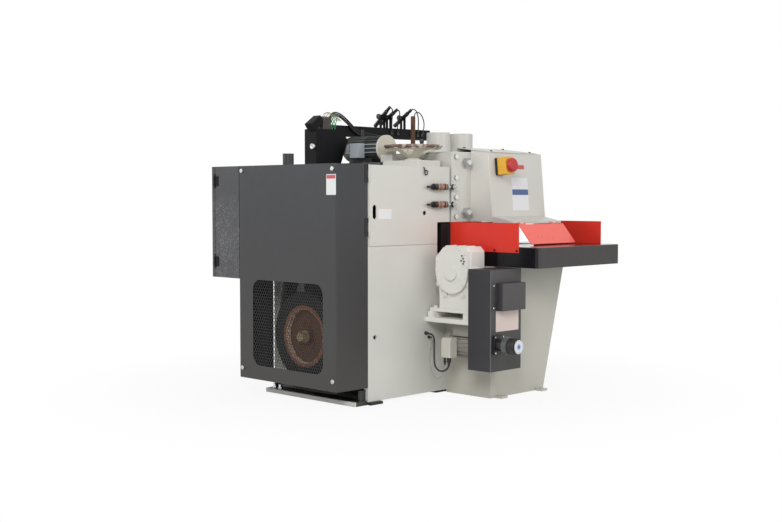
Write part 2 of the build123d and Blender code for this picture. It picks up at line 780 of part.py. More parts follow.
# Emergency stop: a box on the hood's leaning face and a mushroom button that slides into it
stop_wall = 4.0
stop_collar = 10.0
stop_cap = 22.0
stop_stem = 24.0
stop_plane = Plane(
    origin=(front + hood_face_x(stop_z), seam + stop_y, stop_z),
    x_dir=(0, 1, 0),
    z_dir=(cos(radians(hood_lean)), 0, sin(radians(hood_lean))),
)
with BuildPart() as estop_box:
    with BuildSketch(stop_plane):
        RectangleRounded(stop_width, stop_height, 6)
    extrude(amount=stop_depth)
    with BuildSketch(stop_plane.offset(stop_wall)):
        Rectangle(stop_width - 2 * stop_wall, stop_height - 2 * stop_wall)
    extrude(amount=stop_depth - 2 * stop_wall, mode=Mode.SUBTRACT)
    with BuildSketch(stop_plane.offset(stop_depth - 2 * stop_wall)):
        Circle(stop_stem_radius + running_gap)
    extrude(amount=3 * stop_wall, mode=Mode.SUBTRACT)
save(estop_box, "estop_box")

with BuildPart() as estop_button:
    with BuildSketch(stop_plane.offset(stop_depth - stop_stem)):
        Circle(stop_stem_radius)
    extrude(amount=stop_stem + stop_collar)
    with BuildSketch(stop_plane.offset(stop_depth + stop_collar)):
        Circle(stop_button_radius)
    extrude(amount=stop_cap)
    fillet(estop_button.edges().filter_by(GeomType.CIRCLE).sort_by(Axis.X)[-1], 12)
save(estop_button, "estop_button")

# Black screws of the guard walls and of the hood's top plate
plate_angle = atan2(hood_top_back - hood_top_front, hood_reach_top)
plate_plane = Plane(
    origin=(front, seam, hood_top_back + plate_sheet),
    x_dir=(cos(plate_angle), 0, -sin(plate_angle)),
    z_dir=(sin(plate_angle), 0, cos(plate_angle)),
)
plate_screw_places = [(x, y) for x in (-86.0, 110.0) for y in (831.0, 1169.0)]
with BuildPart() as panel_screws:
    for screw_x in guard_screw_places:
        rod("Y", (screw_x, table_left - guard_sheet - screw_head, guard_screw_z), screw_head,
            guard_screw_radius)
        rod("Y", (screw_x, table_right + guard_sheet, guard_screw_z), screw_head, guard_screw_radius)
    with BuildSketch(plate_plane):
        with Locations(*plate_screw_places):
            Circle(guard_screw_radius + 1)
    extrude(amount=screw_head + 1)
save(panel_screws, "panel_screws")

# Pedestal: the welded base under the feed bed and the outfeed table, with anchor feet at its ends
base_left = body_width + panel_gap
anchor_hole_radius = 8.0
anchor_foot = 50.0
anchor_height = 12.0
anchor_left = 650.0
anchor_right = 992.0
bearing_plate = 20.0
top_flange = 62.0


def base_section(left, wall):
    """Corners of the base's section across the feed: upright on the left, flaring outwards on the right."""
    slant = (pedestal_right_top - pedestal_right_floor) / table_bottom
    return [
        (left + wall, wall),
        (pedestal_right_floor - wall + slant * wall, wall),
        (pedestal_right_top - wall, table_bottom),
        (left + wall, table_bottom),
    ]


base_spans = [
    (pedestal_left, 0, pedestal_length, pedestal_sheet, pedestal_length - pedestal_sheet),
    (base_left, -body_length, 0, -body_length + pedestal_sheet, 2 * pedestal_sheet),
]
with BuildPart() as pedestal:
    for left, outer_start, outer_end, inner_start, inner_end in base_spans:
        with BuildSketch(face_plane(outer_start)):
            with BuildLine():
                Polyline(*base_section(left, 0), close=True)
            make_face()
        extrude(amount=outer_end - outer_start)
    for left, outer_start, outer_end, inner_start, inner_end in base_spans:
        with BuildSketch(face_plane(inner_start)):
            with BuildLine():
                Polyline(*base_section(left, pedestal_sheet), close=True)
            make_face()
        extrude(amount=inner_end - inner_start, mode=Mode.SUBTRACT)
    # Outboard bearing plate of the sprocket shaft, welded to the front sheet
    block(
        sprocket_x - 40, pedestal_length - pedestal_sheet + 1, shaft_end - bearing_plate, shaft_end,
        sprocket_z - 70, sprocket_z + 2 * sprocket_shaft_radius,
    )
    rod("Y", (sprocket_x, shaft_end - bearing_plate - 1, sprocket_z), bearing_plate + 2,
        sprocket_shaft_radius + running_gap, Mode.SUBTRACT)
    # Top flanges that carry the bed and the table
    for left, outer_start, outer_end, inner_start, inner_end in base_spans:
        flange_spans = ((left, left + top_flange), (pedestal_right_top - top_flange, pedestal_right_top))
        for flange_y0, flange_y1 in flange_spans:
            block(outer_start, outer_end, flange_y0, flange_y1, table_bottom - 2 * pedestal_sheet,
                  table_bottom)
    rod("Y", (sprocket_x, pedestal_left - 1, sprocket_z), top_flange + 2,
        sprocket_shaft_radius + shaft_relief,
        Mode.SUBTRACT)
    # Anchor feet
    for foot_x in (pedestal_length, -body_length - anchor_foot):
        for foot_y in (anchor_left, anchor_right):
            block(foot_x, foot_x + anchor_foot, foot_y - anchor_foot / 2, foot_y + anchor_foot / 2, 0,
                  anchor_height)
            rod("Z", (foot_x + anchor_foot / 2, foot_y, -1), anchor_height + 2, anchor_hole_radius,
                Mode.SUBTRACT)
save(pedestal, "pedestal")

# Reducer shelf: a plate with two rails, between the body's front panel and the pedestal
rail_wide = 40.0
shelf_plate = 25.0
with BuildPart() as reducer_shelf:
    block(0, pedestal_length, reducer_shelf_left, pedestal_left, reducer_shelf_bottom,
          reducer_shelf_bottom + shelf_plate)
    for shelf_rail in (12.0, pedestal_length - rail_wide - 12):
        block(shelf_rail, shelf_rail + rail_wide, reducer_shelf_left + 8, pedestal_left,
              reducer_shelf_bottom + shelf_plate, reducer_shelf_top)
    fillet(reducer_shelf.edges().filter_by(Axis.X).group_by(Axis.Y)[0], 4)
save(reducer_shelf, "reducer_shelf")

# Gear reducer: a cast case with an end plate, a boss, lugs and feet, and a bearing boss at its back
reducer_mid = (reducer_start + reducer_end) / 2
reducer_chamfer = 60.0
reducer_corner = 24.0
reducer_waist = 10.0
reducer_back = pedestal_left - 28
bearing_radius = 48.0
plate_inset = 5.0
cover_rise = 26.0
boss_x = reducer_mid + 4
boss_radius = 40.0
boss_rise = 16.0
reducer_face = reducer_left + cover_rise + boss_rise
reducer_foot = 18.0
lug_radius = 15.0
lug_places = [(-112, 14), (-104, -62), (112, 14), (104, -62), (-62, -118), (62, -118), (-45, 126), (20, 126),
              (82, 126)]
with BuildPart() as gear_reducer:
    with BuildSketch(side_plane(reducer_face)):
        with BuildLine():
            Polyline(
                (reducer_start + reducer_waist, reducer_shelf_top),
                (reducer_end - reducer_waist, reducer_shelf_top),
                (reducer_end - reducer_waist, reducer_axis_z - reducer_cover_radius),
                (reducer_end, reducer_axis_z - reducer_chamfer),
                (reducer_end, reducer_top - reducer_corner),
                (reducer_end - reducer_corner, reducer_top),
                (reducer_start + reducer_chamfer, reducer_top),
                (reducer_start, reducer_top - reducer_chamfer),
                (reducer_start, reducer_axis_z - reducer_chamfer),
                (reducer_start + reducer_waist, reducer_axis_z - reducer_cover_radius),
                close=True,
            )
        make_face()
    extrude(amount=-(reducer_back - reducer_face))
    fillet(gear_reducer.edges().filter_by(Axis.Y), 14)
    block(12, pedestal_length - 12, reducer_face - 14, pedestal_left, reducer_shelf_top,
          reducer_shelf_top + reducer_foot)
    with BuildSketch(side_plane(reducer_face - cover_rise)):
        with BuildLine():
            Polyline(
                (reducer_start + plate_inset, reducer_axis_z),
                (reducer_start + plate_inset, reducer_top - reducer_chamfer),
                (reducer_start + reducer_chamfer, reducer_top - plate_inset),
                (reducer_end - reducer_corner, reducer_top - plate_inset),
                (reducer_end - plate_inset, reducer_top - reducer_corner),
                (reducer_end - plate_inset, reducer_axis_z),
                close=True,
            )
        make_face()
        with Locations((reducer_mid, reducer_axis_z)):
            Circle(reducer_cover_radius)
    extrude(amount=-cover_rise)
    rod("Y", (sprocket_x, reducer_back, sprocket_z), pedestal_left - reducer_back, bearing_radius)
    rod("Y", (boss_x, reducer_left, reducer_axis_z), cover_rise + boss_rise, boss_radius)
    for lug_x, lug_z in lug_places:
        rod("Y", (reducer_mid + lug_x, reducer_face - 10, reducer_axis_z + lug_z), 70, lug_radius)
    rod("Y", (sprocket_x, shaft_start - 1, sprocket_z), pedestal_left - shaft_start + 2,
        sprocket_shaft_radius + running_gap, Mode.SUBTRACT)
save(gear_reducer, "gear_reducer")

# Feed motor under the shelf: a finned barrel with end shields, fan cover and a foot against the shelf
fin_count = 18
fin_depth = 8.0
fin_width = 4.0
end_shield = 22.0
fan_cover = 34.0
motor_foot_width = 96.0
motor_core = feed_motor_radius - fin_depth
fin_start = feed_motor_start + fan_cover
fin_end = pedestal_length - end_shield
with BuildPart() as feed_motor:
    rod("X", (feed_motor_start, feed_motor_y, feed_motor_z), pedestal_length - feed_motor_start, motor_core)
    rod("X", (feed_motor_start, feed_motor_y, feed_motor_z), fan_cover, feed_motor_radius)
    rod("X", (fin_end, feed_motor_y, feed_motor_z), end_shield, feed_motor_radius)
    with BuildSketch(face_plane(fin_start)):
        with Locations((feed_motor_y, feed_motor_z)):
            with PolarLocations(feed_motor_radius - fin_depth / 2 - 1, fin_count):
                Rectangle(fin_depth + 2, fin_width)
    extrude(amount=fin_end - fin_start)
    block(fin_start + 20, fin_end - 20, feed_motor_y - motor_foot_width / 2,
          feed_motor_y + motor_foot_width / 2,
          feed_motor_z + motor_core - 4, reducer_shelf_bottom)
save(feed_motor, "feed_motor")

# Terminal box on the motor's side, with a cable gland for each lead
terminal_x0 = 131.0
terminal_x1 = 194.0
terminal_y0 = 404.0
terminal_z0 = 220.0
terminal_z1 = 322.0
terminal_chamfer = 16.0
gland_radius = 11.0
gland_length = 22.0
small_gland_radius = 6.0
lead_exit = (166.0, 428.0)
sensor_exit = (140.0, 425.0)
with BuildPart() as terminal_box:
    block(terminal_x0, terminal_x1, terminal_y0, feed_motor_y - feed_motor_radius, terminal_z0, terminal_z1)
    chamfer(terminal_box.edges().filter_by(Axis.X).group_by(Axis.Y)[0].sort_by(Axis.Z)[-1], terminal_chamfer)
    fillet(terminal_box.edges().filter_by(Axis.Z).group_by(Axis.Y)[0], 5)
    rod("Z", (*lead_exit, terminal_z0 - gland_length), gland_length, gland_radius)
    rod("Z", (*sensor_exit, terminal_z0 - gland_length), gland_length, small_gland_radius)
save(terminal_box, "terminal_box")

# Leads: hanging loops from the glands into the body's front panel
lead_radius = 4.5
sensor_radius = 2.5
lead_route = [
    (166, 428, 198),
    (166, 428, 170),
    (150, 416, 148),
    (126, 398, 145),
    (106, 386, 168),
    (100, 386, 206),
    (93, 394, 250),
    (82, 407, 288),
    (68, 420, 314),
    (48, 428, 330),
    (24, 426, 334),
    (0, 426, 334),
]
sensor_route = [
    (140, 425, 198),
    (140, 425, 160),
    (126, 415, 116),
    (98, 406, 98),
    (74, 401, 122),
    (56, 400, 172),
    (46, 408, 226),
    (40, 428, 274),
    (28, 450, 310),
    (0, 450, 310),
]


def corner_radii(points):
    """The largest arcs that fit between the straight runs of a lead's route."""
    radii = []
    for before, corner, after in zip(points, points[1:], points[2:]):
        run_in = Vector(*corner) - Vector(*before)
        run_out = Vector(*after) - Vector(*corner)
        half_turn = radians(run_in.get_angle(run_out) / 2)
        radii.append(0.45 * min(run_in.length, run_out.length) / tan(half_turn))
    return radii


for lead_name, route, radius in (
    ("feed_motor_lead", lead_route, lead_radius),
    ("sensor_lead", sensor_route, sensor_radius),
):
    points = [(front + x, seam + y, z) for x, y, z in route]
    radii = corner_radii(points)
    with BuildPart() as lead:
        with BuildLine() as lead_line:
            FilletPolyline(*points, radius=radii)
        with BuildSketch(lead_line.line ^ 0):
            Circle(radius)
        sweep()
    save(lead, lead_name)

# Variator case in front of the motor and the reducer, with the end cover of the upper shaft
with BuildPart() as variator_case:
    block(pedestal_length, pedestal_length + case_length, case_left, case_right, case_bottom, case_top)
    fillet(variator_case.edges().filter_by(Axis.Z).group_by(Axis.X)[-1], 4)
    block(
        pedestal_length + case_sheet, pedestal_length + case_length - case_sheet, case_left + case_sheet,
        case_right - case_sheet, case_bottom + case_sheet, case_top - case_sheet, mode=Mode.SUBTRACT,
    )
save(variator_case, "variator_case")

end_cover_left = 454.0
end_cover_right = 640.0
end_cover_bottom = 481.0
end_cover_top = 620.0
end_cover_rise = 45.0
end_flange = 40.0
case_face = pedestal_length + case_length
with BuildPart() as end_cover:
    block(case_face, case_face + end_cover_rise, end_cover_left, end_cover_right, end_cover_bottom,
          end_cover_top)
    fillet(end_cover.edges().filter_by(Axis.Z).group_by(Axis.X)[-1], 5)
    block(
        case_face, case_face + end_cover_rise - case_sheet, end_cover_left + case_sheet,
        end_cover_right - case_sheet, end_cover_bottom + case_sheet, end_cover_top - case_sheet,
        mode=Mode.SUBTRACT,
    )
    block(case_face, case_face + case_sheet, end_cover_left - end_flange, end_cover_left + case_sheet,
          end_cover_bottom, end_cover_top)
save(end_cover, "end_cover")

# Speed knob: a fixed flange and ring on the case, and the drum that turns in it
flange_plate = 13.0
flange_neck_radius = 31.0
ring_radius = 46.0
ring_start = case_face + 58
ring_width = 30.0
knob_shaft_radius = 15.0
knob_shaft = 36.0
with BuildPart() as knob_flange:
    block(case_face, case_face + flange_plate, knob_y - 38, knob_y + 38, knob_z - 48, knob_z + 48)
    fillet(knob_flange.edges().filter_by(Axis.X), 6)
    rod("X", (case_face, knob_y, knob_z), ring_start - case_face, flange_neck_radius)
    rod("X", (ring_start, knob_y, knob_z), ring_width, ring_radius)
    rod("X", (ring_start + ring_width - knob_shaft, knob_y, knob_z), knob_shaft,
        knob_shaft_radius + running_gap,
        Mode.SUBTRACT)
save(knob_flange, "knob_flange")

knob_start = ring_start + ring_width + 2
dial_rise = 6.0
with BuildPart() as speed_knob:
    rod("X", (knob_start + 2 - knob_shaft, knob_y, knob_z), knob_shaft, knob_shaft_radius)
    rod("X", (knob_start, knob_y, knob_z), knob_end - dial_rise - knob_start, knob_radius)
    fillet(speed_knob.edges().filter_by(GeomType.CIRCLE).group_by(Axis.X)[-1], 4)
    rod("X", (knob_end - dial_rise, knob_y, knob_z), dial_rise, knob_radius - 5)
save(speed_knob, "speed_knob")

# Main motor on the floor of the body, its shaft bore towards the drive side
main_motor_start = 60.0
motor_foot_length = 70.0
motor_foot_half = 150.0
motor_foot_inset = 30.0
motor_bore_depth = 210.0
with BuildPart() as main_motor:
    rod("Y", (motor_x, main_motor_start, motor_z), motor_body_length, motor_body_radius)
    fillet(main_motor.edges().filter_by(GeomType.CIRCLE).group_by(Axis.Y)[-1], 30)
    for foot_y in (
        main_motor_start + motor_foot_inset,
        main_motor_start + motor_body_length - motor_foot_inset - motor_foot_length,
    ):
        block(
            motor_x - motor_foot_half, motor_x + motor_foot_half, foot_y, foot_y + motor_foot_length,
            foot_height + body_wall, motor_z - motor_body_radius / 2,
        )
    rod("Y", (motor_x, main_motor_start, motor_z), motor_bore_depth, motor_shaft_radius + running_gap,
        Mode.SUBTRACT)
save(main_motor, "main_motor")

# Grooved motor pulley with its web, hub and shaft
pulley_front = pulley_back - pulley_width
groove_pitch = 20.0
groove_width = 19.0
groove_depth = 13.0
rim_inner_radius = 140.0
hub_radius = 42.0
hub_setback = 4.0
web_thickness = 56.0
shaft_reach = 30.0
groove_first = pulley_front + (pulley_width - groove_pitch * belt_count) / 2
with BuildPart() as motor_pulley:
    rod("Y", (motor_x, pulley_front, motor_z), pulley_width, motor_pulley_radius)
    web_y = pulley_front + (pulley_width - web_thickness) / 2
    rod("Y", (motor_x, pulley_front, motor_z), web_y - pulley_front, rim_inner_radius, Mode.SUBTRACT)
    rod("Y", (motor_x, web_y + web_thickness, motor_z), web_y - pulley_front, rim_inner_radius, Mode.SUBTRACT)
    for groove in range(belt_count):
        groove_y = groove_first + groove * groove_pitch + (groove_pitch - groove_width) / 2
        with BuildSketch(side_plane(groove_y)):
            with Locations((motor_x, motor_z)):
                Circle(motor_pulley_radius + 1)
                Circle(motor_pulley_radius - groove_depth, mode=Mode.SUBTRACT)
        extrude(amount=-groove_width, mode=Mode.SUBTRACT)
    rod("Y", (motor_x, pulley_front + hub_setback, motor_z), pulley_width - hub_setback, hub_radius)
    rod("Y", (motor_x, pulley_front - shaft_reach, motor_z),
        main_motor_start + motor_bore_depth - 10 - pulley_front + shaft_reach, motor_shaft_radius)
save(motor_pulley, "motor_pulley")

# Arbor pulley over the motor pulley
with BuildPart() as arbor_pulley:
    rod("Y", (arbor_x, pulley_front, arbor_z), pulley_width, arbor_pulley_radius)
    for groove in range(belt_count):
        groove_y = groove_first + groove * groove_pitch + (groove_pitch - groove_width) / 2
        with BuildSketch(side_plane(groove_y)):
            with Locations((arbor_x, arbor_z)):
                Circle(arbor_pulley_radius + 1)
                Circle(arbor_pulley_radius - groove_depth, mode=Mode.SUBTRACT)
        extrude(amount=-groove_width, mode=Mode.SUBTRACT)
    rod("Y", (arbor_x, pulley_front, arbor_z), pulley_width, arbor_radius, Mode.SUBTRACT)
save(arbor_pulley, "arbor_pulley")

# Belts round both pulleys
motor_belt_inner = motor_pulley_radius - groove_depth + running_gap
arbor_belt_inner = arbor_pulley_radius - groove_depth + running_gap


def belt_flanks(motor_end_radius, arbor_end_radius):
    """Corners of the field between the two outer tangents of the belt's end circles."""
    run = Vector(arbor_x - motor_x, arbor_z - motor_z)
    heading = atan2(run.Y, run.X)
    spread = acos((motor_end_radius - arbor_end_radius) / run.length)
    corners = []
    for side, first in ((1, True), (-1, False)):
        angle = heading + side * spread
        low = (motor_x + motor_end_radius * cos(angle), motor_z + motor_end_radius * sin(angle))
        high = (arbor_x + arbor_end_radius * cos(angle), arbor_z + arbor_end_radius * sin(angle))
        corners += [low, high] if first else [high, low]
    return corners


belt_rings = (
    (motor_belt_inner + belt_thickness, arbor_belt_inner + belt_thickness, Mode.ADD),
    (motor_belt_inner, arbor_belt_inner, Mode.SUBTRACT),
)
with BuildPart() as drive_belts:
    for groove in range(belt_count):
        belt_y = groove_first + groove * groove_pitch + (groove_pitch - belt_width) / 2
        with BuildSketch(side_plane(belt_y)):
            for motor_end_radius, arbor_end_radius, ring_mode in belt_rings:
                with Locations((motor_x, motor_z)):
                    Circle(motor_end_radius, mode=ring_mode)
                with Locations((arbor_x, arbor_z)):
                    Circle(arbor_end_radius, mode=ring_mode)
                with BuildLine():
                    Polyline(*belt_flanks(motor_end_radius, arbor_end_radius), close=True)
                make_face(mode=ring_mode)
        extrude(amount=-belt_width)
save(drive_belts, "drive_belts")

# Arbor housing between the body's side walls
with BuildPart() as arbor_housing:
    rod("Y", (arbor_x, body_wall, arbor_z), body_width - 2 * body_wall, arbor_housing_radius)
    rod("Y", (arbor_x, 0, arbor_z), body_width, arbor_radius + running_gap, Mode.SUBTRACT)
save(arbor_housing, "arbor_housing")

# Saw arbor from the pulley to the last blade
arbor_tail = 25.0
arbor_end = blade_first + (blade_count - 1) * blade_pitch + arbor_tail
with BuildPart() as saw_arbor:
    rod("Y", (arbor_x, pulley_front, arbor_z), arbor_end - pulley_front, arbor_radius)
    chamfer(saw_arbor.edges().filter_by(GeomType.CIRCLE).group_by(Axis.Y)[-1], 3)
save(saw_arbor, "saw_arbor")

# Saw blades on the arbor
tooth_count = 24
tooth_depth = 12.0
with BuildPart() as saw_blades:
    for blade in range(blade_count):
        blade_y = blade_first + blade * blade_pitch - blade_thickness / 2
        with BuildSketch(side_plane(blade_y)):
            with Locations((arbor_x, arbor_z)):
                Circle(blade_radius)
                Circle(arbor_radius, mode=Mode.SUBTRACT)
                with PolarLocations(blade_radius, tooth_count):
                    RectangleRounded(2 * tooth_depth, tooth_depth, 4, mode=Mode.SUBTRACT)
        extrude(amount=-blade_thickness)
save(saw_blades, "saw_blades")

# Pressure frame: two side bars, cross bars, hangers for the rollers and the arm to the lift screw
bar_thickness = 20.0
bar_bottom = 1040.0
bar_height = 60.0
frame_left = roller_left - bar_thickness - 15
frame_right = roller_right + 15
frame_start = -620.0
frame_end = -60.0
hanger_half = 25.0
roller_z = table_top + pressure_roller_radius + 25
hanger_bottom = roller_z - 20
arm_start = 515.0
arm_half = 25.0
with BuildPart() as pressure_frame:
    for bar_y in (frame_left, frame_right):
        block(frame_start, frame_end, bar_y, bar_y + bar_thickness, bar_bottom, bar_bottom + bar_height)
        for roller_x in (front_roller_x, rear_roller_x):
            block(roller_x - hanger_half, roller_x + hanger_half, bar_y, bar_y + bar_thickness,
                  hanger_bottom, bar_bottom)
    for cross_x in (frame_start, frame_end - bar_thickness):
        block(cross_x, cross_x + bar_thickness, frame_left, frame_right + bar_thickness,
              bar_bottom, bar_bottom + bar_height)
    block(lift_x - arm_half, lift_x + arm_half, arm_start, frame_left, lift_arm_z - lift_arm_height / 2,
          lift_arm_z + lift_arm_height / 2)
    block(lift_x - arm_half, lift_x + arm_half, frame_left, frame_left + bar_thickness,
          bar_bottom, lift_arm_z + lift_arm_height / 2)
    for roller_x in (front_roller_x, rear_roller_x):
        rod("Y", (roller_x, frame_left, roller_z), frame_right + bar_thickness - frame_left,
            roller_pin_radius + running_gap, Mode.SUBTRACT)
save(pressure_frame, "pressure_frame")

# Pressure rollers with their stub shafts
roller_places = {"front_pressure_roller": front_roller_x, "rear_pressure_roller": rear_roller_x}
for roller_name, roller_x in roller_places.items():
    with BuildPart() as pressure_roller:
        rod("Y", (roller_x, roller_left, roller_z), roller_right - roller_left, pressure_roller_radius)
        chamfer(pressure_roller.edges().filter_by(GeomType.CIRCLE), 3)
        rod("Y", (roller_x, frame_left, roller_z), frame_right + bar_thickness - frame_left,
            roller_pin_radius)
    save(pressure_roller, roller_name)

# Kickback fingers hanging on the casting's cross shaft
finger_count = 15
finger_pitch = 20.0
finger_first = 860.0
finger_plate = 8.0
finger_half = 18.0
finger_tip = table_top + 8
with BuildPart() as kickback_fingers:
    for finger in range(finger_count):
        finger_y = finger_first + finger * finger_pitch
        with BuildSketch(side_plane(finger_y)):
            with BuildLine():
                Polyline(
                    (finger_x - finger_half, finger_z),
                    (finger_x - finger_half / 2, finger_tip + 2 * finger_half),
                    (finger_x - finger_half, finger_tip),
                    (finger_x + finger_half, finger_tip + finger_half),
                    (finger_x + finger_half, finger_z),
                    close=True,
                )
            make_face()
            with Locations((finger_x, finger_z)):
                Circle(finger_half)
                Circle(finger_pin_radius + running_gap, mode=Mode.SUBTRACT)
        extrude(amount=-finger_plate)
save(kickback_fingers, "kickback_fingers")

# Lift screw standing on the arm of the pressure frame
with BuildPart() as lift_screw:
    rod("Z", (lift_x, lift_y, lift_arm_z + lift_arm_height / 2),
        lift_screw_top - lift_arm_z - lift_arm_height / 2,
        lift_screw_radius)
    chamfer(lift_screw.edges().filter_by(GeomType.CIRCLE).group_by(Axis.Z)[-1], 2)
save(lift_screw, "lift_screw")

# Lift gearbox on the body's roof: a base plate, a round housing and the arm to the lift motor's flange
gearbox_start = -330.0
gearbox_end = -60.0
gearbox_left = 430.0
gearbox_right = 614.0
gearbox_base = 34.0
housing_radius = 46.0
housing_top = 1262.0
gearbox_arm_half = 52.0
gearbox_arm_bottom = 1249.0
gearbox_arm_top = 1288.0
with BuildPart() as lift_gearbox:
    block(gearbox_start, gearbox_end, gearbox_left, gearbox_right, body_top, body_top + gearbox_base)
    fillet(lift_gearbox.edges().filter_by(Axis.Z), 10)
    rod("Z", (lift_x, lift_y, body_top + gearbox_base), housing_top - body_top - gearbox_base, housing_radius)
    block(lift_flange_x, gearbox_start + 20, lift_y - gearbox_arm_half, lift_y + gearbox_arm_half,
          gearbox_arm_bottom, gearbox_arm_top)
    rod("Z", (lift_x, lift_y, body_top), housing_top - body_top, lift_screw_radius + running_gap,
        Mode.SUBTRACT)
save(lift_gearbox, "lift_gearbox")

# Lift motor: flange, finned barrel, domed fan cover, terminal box and the cradle under it
lift_flange = 16.0
lift_fan_cover = 70.0
lift_fin_count = 20
lift_core = lift_motor_radius - fin_depth
lift_box_start = -579.0
lift_box_end = -511.0
lift_box_half = 40.0
lift_box_depth = 44.0
lift_box_drop = 12.0
lift_barrel_end = lift_flange_x - lift_flange
cradle_start = -700.0
cradle_end = -332.0
cradle_left = 420.0
cradle_right = 600.0
cradle_plate = 28.0
saddle_start = -660.0
saddle_end = -480.0
saddle_half = 44.0
lift_fin_start = lift_motor_end + lift_fan_cover
with BuildPart() as lift_motor:
    rod("X", (lift_barrel_end, lift_y, lift_motor_axis_z), lift_flange, lift_flange_radius)
    rod("X", (lift_fin_start, lift_y, lift_motor_axis_z), lift_barrel_end - lift_fin_start, lift_core)
    rod("X", (lift_motor_end, lift_y, lift_motor_axis_z), lift_fan_cover, lift_motor_radius)
    fillet(lift_motor.edges().filter_by(GeomType.CIRCLE).group_by(Axis.X)[0], 26)
    with BuildSketch(face_plane(lift_fin_start)):
        with Locations((lift_y, lift_motor_axis_z)):
            with PolarLocations(lift_motor_radius - fin_depth / 2 - 1, lift_fin_count):
                Rectangle(fin_depth + 2, fin_width)
    extrude(amount=lift_barrel_end - lift_fin_start)
    block(
        lift_box_start, lift_box_end, lift_y - lift_motor_radius - lift_box_depth, lift_y - lift_core + 6,
        lift_motor_axis_z - lift_box_drop - lift_box_half, lift_motor_axis_z - lift_box_drop + lift_box_half,
    )
    block(cradle_start, cradle_end, cradle_left, cradle_right, body_top, body_top + cradle_plate)
    block(saddle_start, saddle_end, lift_y - saddle_half, lift_y + saddle_half, body_top,
          lift_motor_axis_z - lift_core + fin_depth)
save(lift_motor, "lift_motor")

# Lift handwheel: a ring on a dished web with windows, a hub with a nut and an upright handle
wheel_hub_radius = 34.0
wheel_hub_bottom = housing_top + 2 * air_gap
wheel_hub_top = 1316.0
web_sheet = 9.0
web_rise = 50.0
web_knee_radius = 84.0
web_knee_rise = 38.0
web_window_radius = 34.0
web_window_place = 92.0
nut_radius = 24.0
nut_height = 20.0
handle_radius = 11.0
handle_height = 26.0
handle_angle = 115.0
web_profile = [
    (0, wheel_hub_bottom + 4),
    (wheel_hub_radius, wheel_hub_bottom + 4),
    (web_knee_radius, wheel_hub_bottom + 4 + web_knee_rise),
    (lift_wheel_radius, wheel_hub_bottom + 4 + web_rise),
    (lift_wheel_radius, wheel_hub_bottom + 4 + web_rise + web_sheet),
    (web_knee_radius, wheel_hub_bottom + 4 + web_knee_rise + web_sheet),
    (wheel_hub_radius, wheel_hub_bottom + 4 + web_sheet),
    (0, wheel_hub_bottom + 4 + web_sheet),
]
handle_x = lift_x + lift_wheel_radius * cos(radians(handle_angle))
handle_y = lift_y + lift_wheel_radius * sin(radians(handle_angle))
with BuildPart() as lift_handwheel:
    with BuildSketch(Plane(origin=(front + lift_x, seam + lift_y, 0), x_dir=(1, 0, 0), z_dir=(0, -1, 0))):
        with BuildLine():
            Polyline(*web_profile, close=True)
        make_face()
    revolve(axis=Axis((front + lift_x, seam + lift_y, 0), (0, 0, 1)))
    with BuildSketch(Plane(origin=(front + lift_x, seam + lift_y, wheel_hub_bottom))):
        with PolarLocations(web_window_place, 4, start_angle=25):
            Circle(web_window_radius)
    extrude(amount=2 * web_rise, mode=Mode.SUBTRACT)
    with Locations((front + lift_x, seam + lift_y, lift_wheel_z)):
        Torus(lift_wheel_radius, lift_rim_radius)
    rod("Z", (lift_x, lift_y, wheel_hub_bottom), wheel_hub_top - wheel_hub_bottom, wheel_hub_radius)
    with BuildSketch(Plane(origin=(front + lift_x, seam + lift_y, wheel_hub_top))):
        RegularPolygon(nut_radius, 6)
    extrude(amount=nut_height)
    rod("Z", (handle_x, handle_y, lift_wheel_z), lift_rim_radius + handle_height, handle_radius)
    with Locations((front + handle_x, seam + handle_y, lift_wheel_z + lift_rim_radius + handle_height)):
        Sphere(handle_radius + 2)
    rod("Z", (lift_x, lift_y, wheel_hub_bottom), wheel_hub_top + nut_height - wheel_hub_bottom,
        lift_screw_radius + running_gap, Mode.SUBTRACT)
save(lift_handwheel, "lift_handwheel")

# Laser stand: a gusset column with a tilted junction box, the cross beam and a fork with a pin for each laser
column_start = -body_length
column_end = column_start + 95
column_outline = [(225, body_top), (404, body_top), (464, 1378), (421, 1432), (225, 1432)]
junction_outline = [(191, 1458), (258, 1507), (283, 1469), (216, 1420)]
fork_sheet = 3.0
clamp_knob = 10.0
fork_half = 9.0
clamp_radius = 13.0
junction_start = column_start + 38
fork_gap = laser_radius + 1
fork_top = laser_pivot_z + 12
beam_top = beam_bottom + beam_side
with BuildPart() as laser_stand:
    for outline, outline_start in ((column_outline, column_start), (junction_outline, junction_start)):
        with BuildSketch(face_plane(outline_start)):
            with BuildLine():
                Polyline(*outline, close=True)
            make_face()
        extrude(amount=column_end - outline_start)
    block(beam_x - beam_side / 2, beam_x + beam_side / 2, beam_left, beam_right, beam_bottom, beam_top)
    for laser_y in laser_places.values():
        for cheek_y in (laser_y - fork_gap - fork_sheet, laser_y + fork_gap):
            block(beam_x - fork_half, beam_x + fork_half, cheek_y, cheek_y + fork_sheet, beam_top, fork_top)
        rod("Y", (beam_x, laser_y - fork_gap - fork_sheet, laser_pivot_z), 2 * (fork_gap + fork_sheet),
            laser_pin_radius)
        rod("Y", (beam_x, laser_y - fork_gap - fork_sheet - clamp_knob, laser_pivot_z), clamp_knob,
            clamp_radius)
save(laser_stand, "laser_stand")

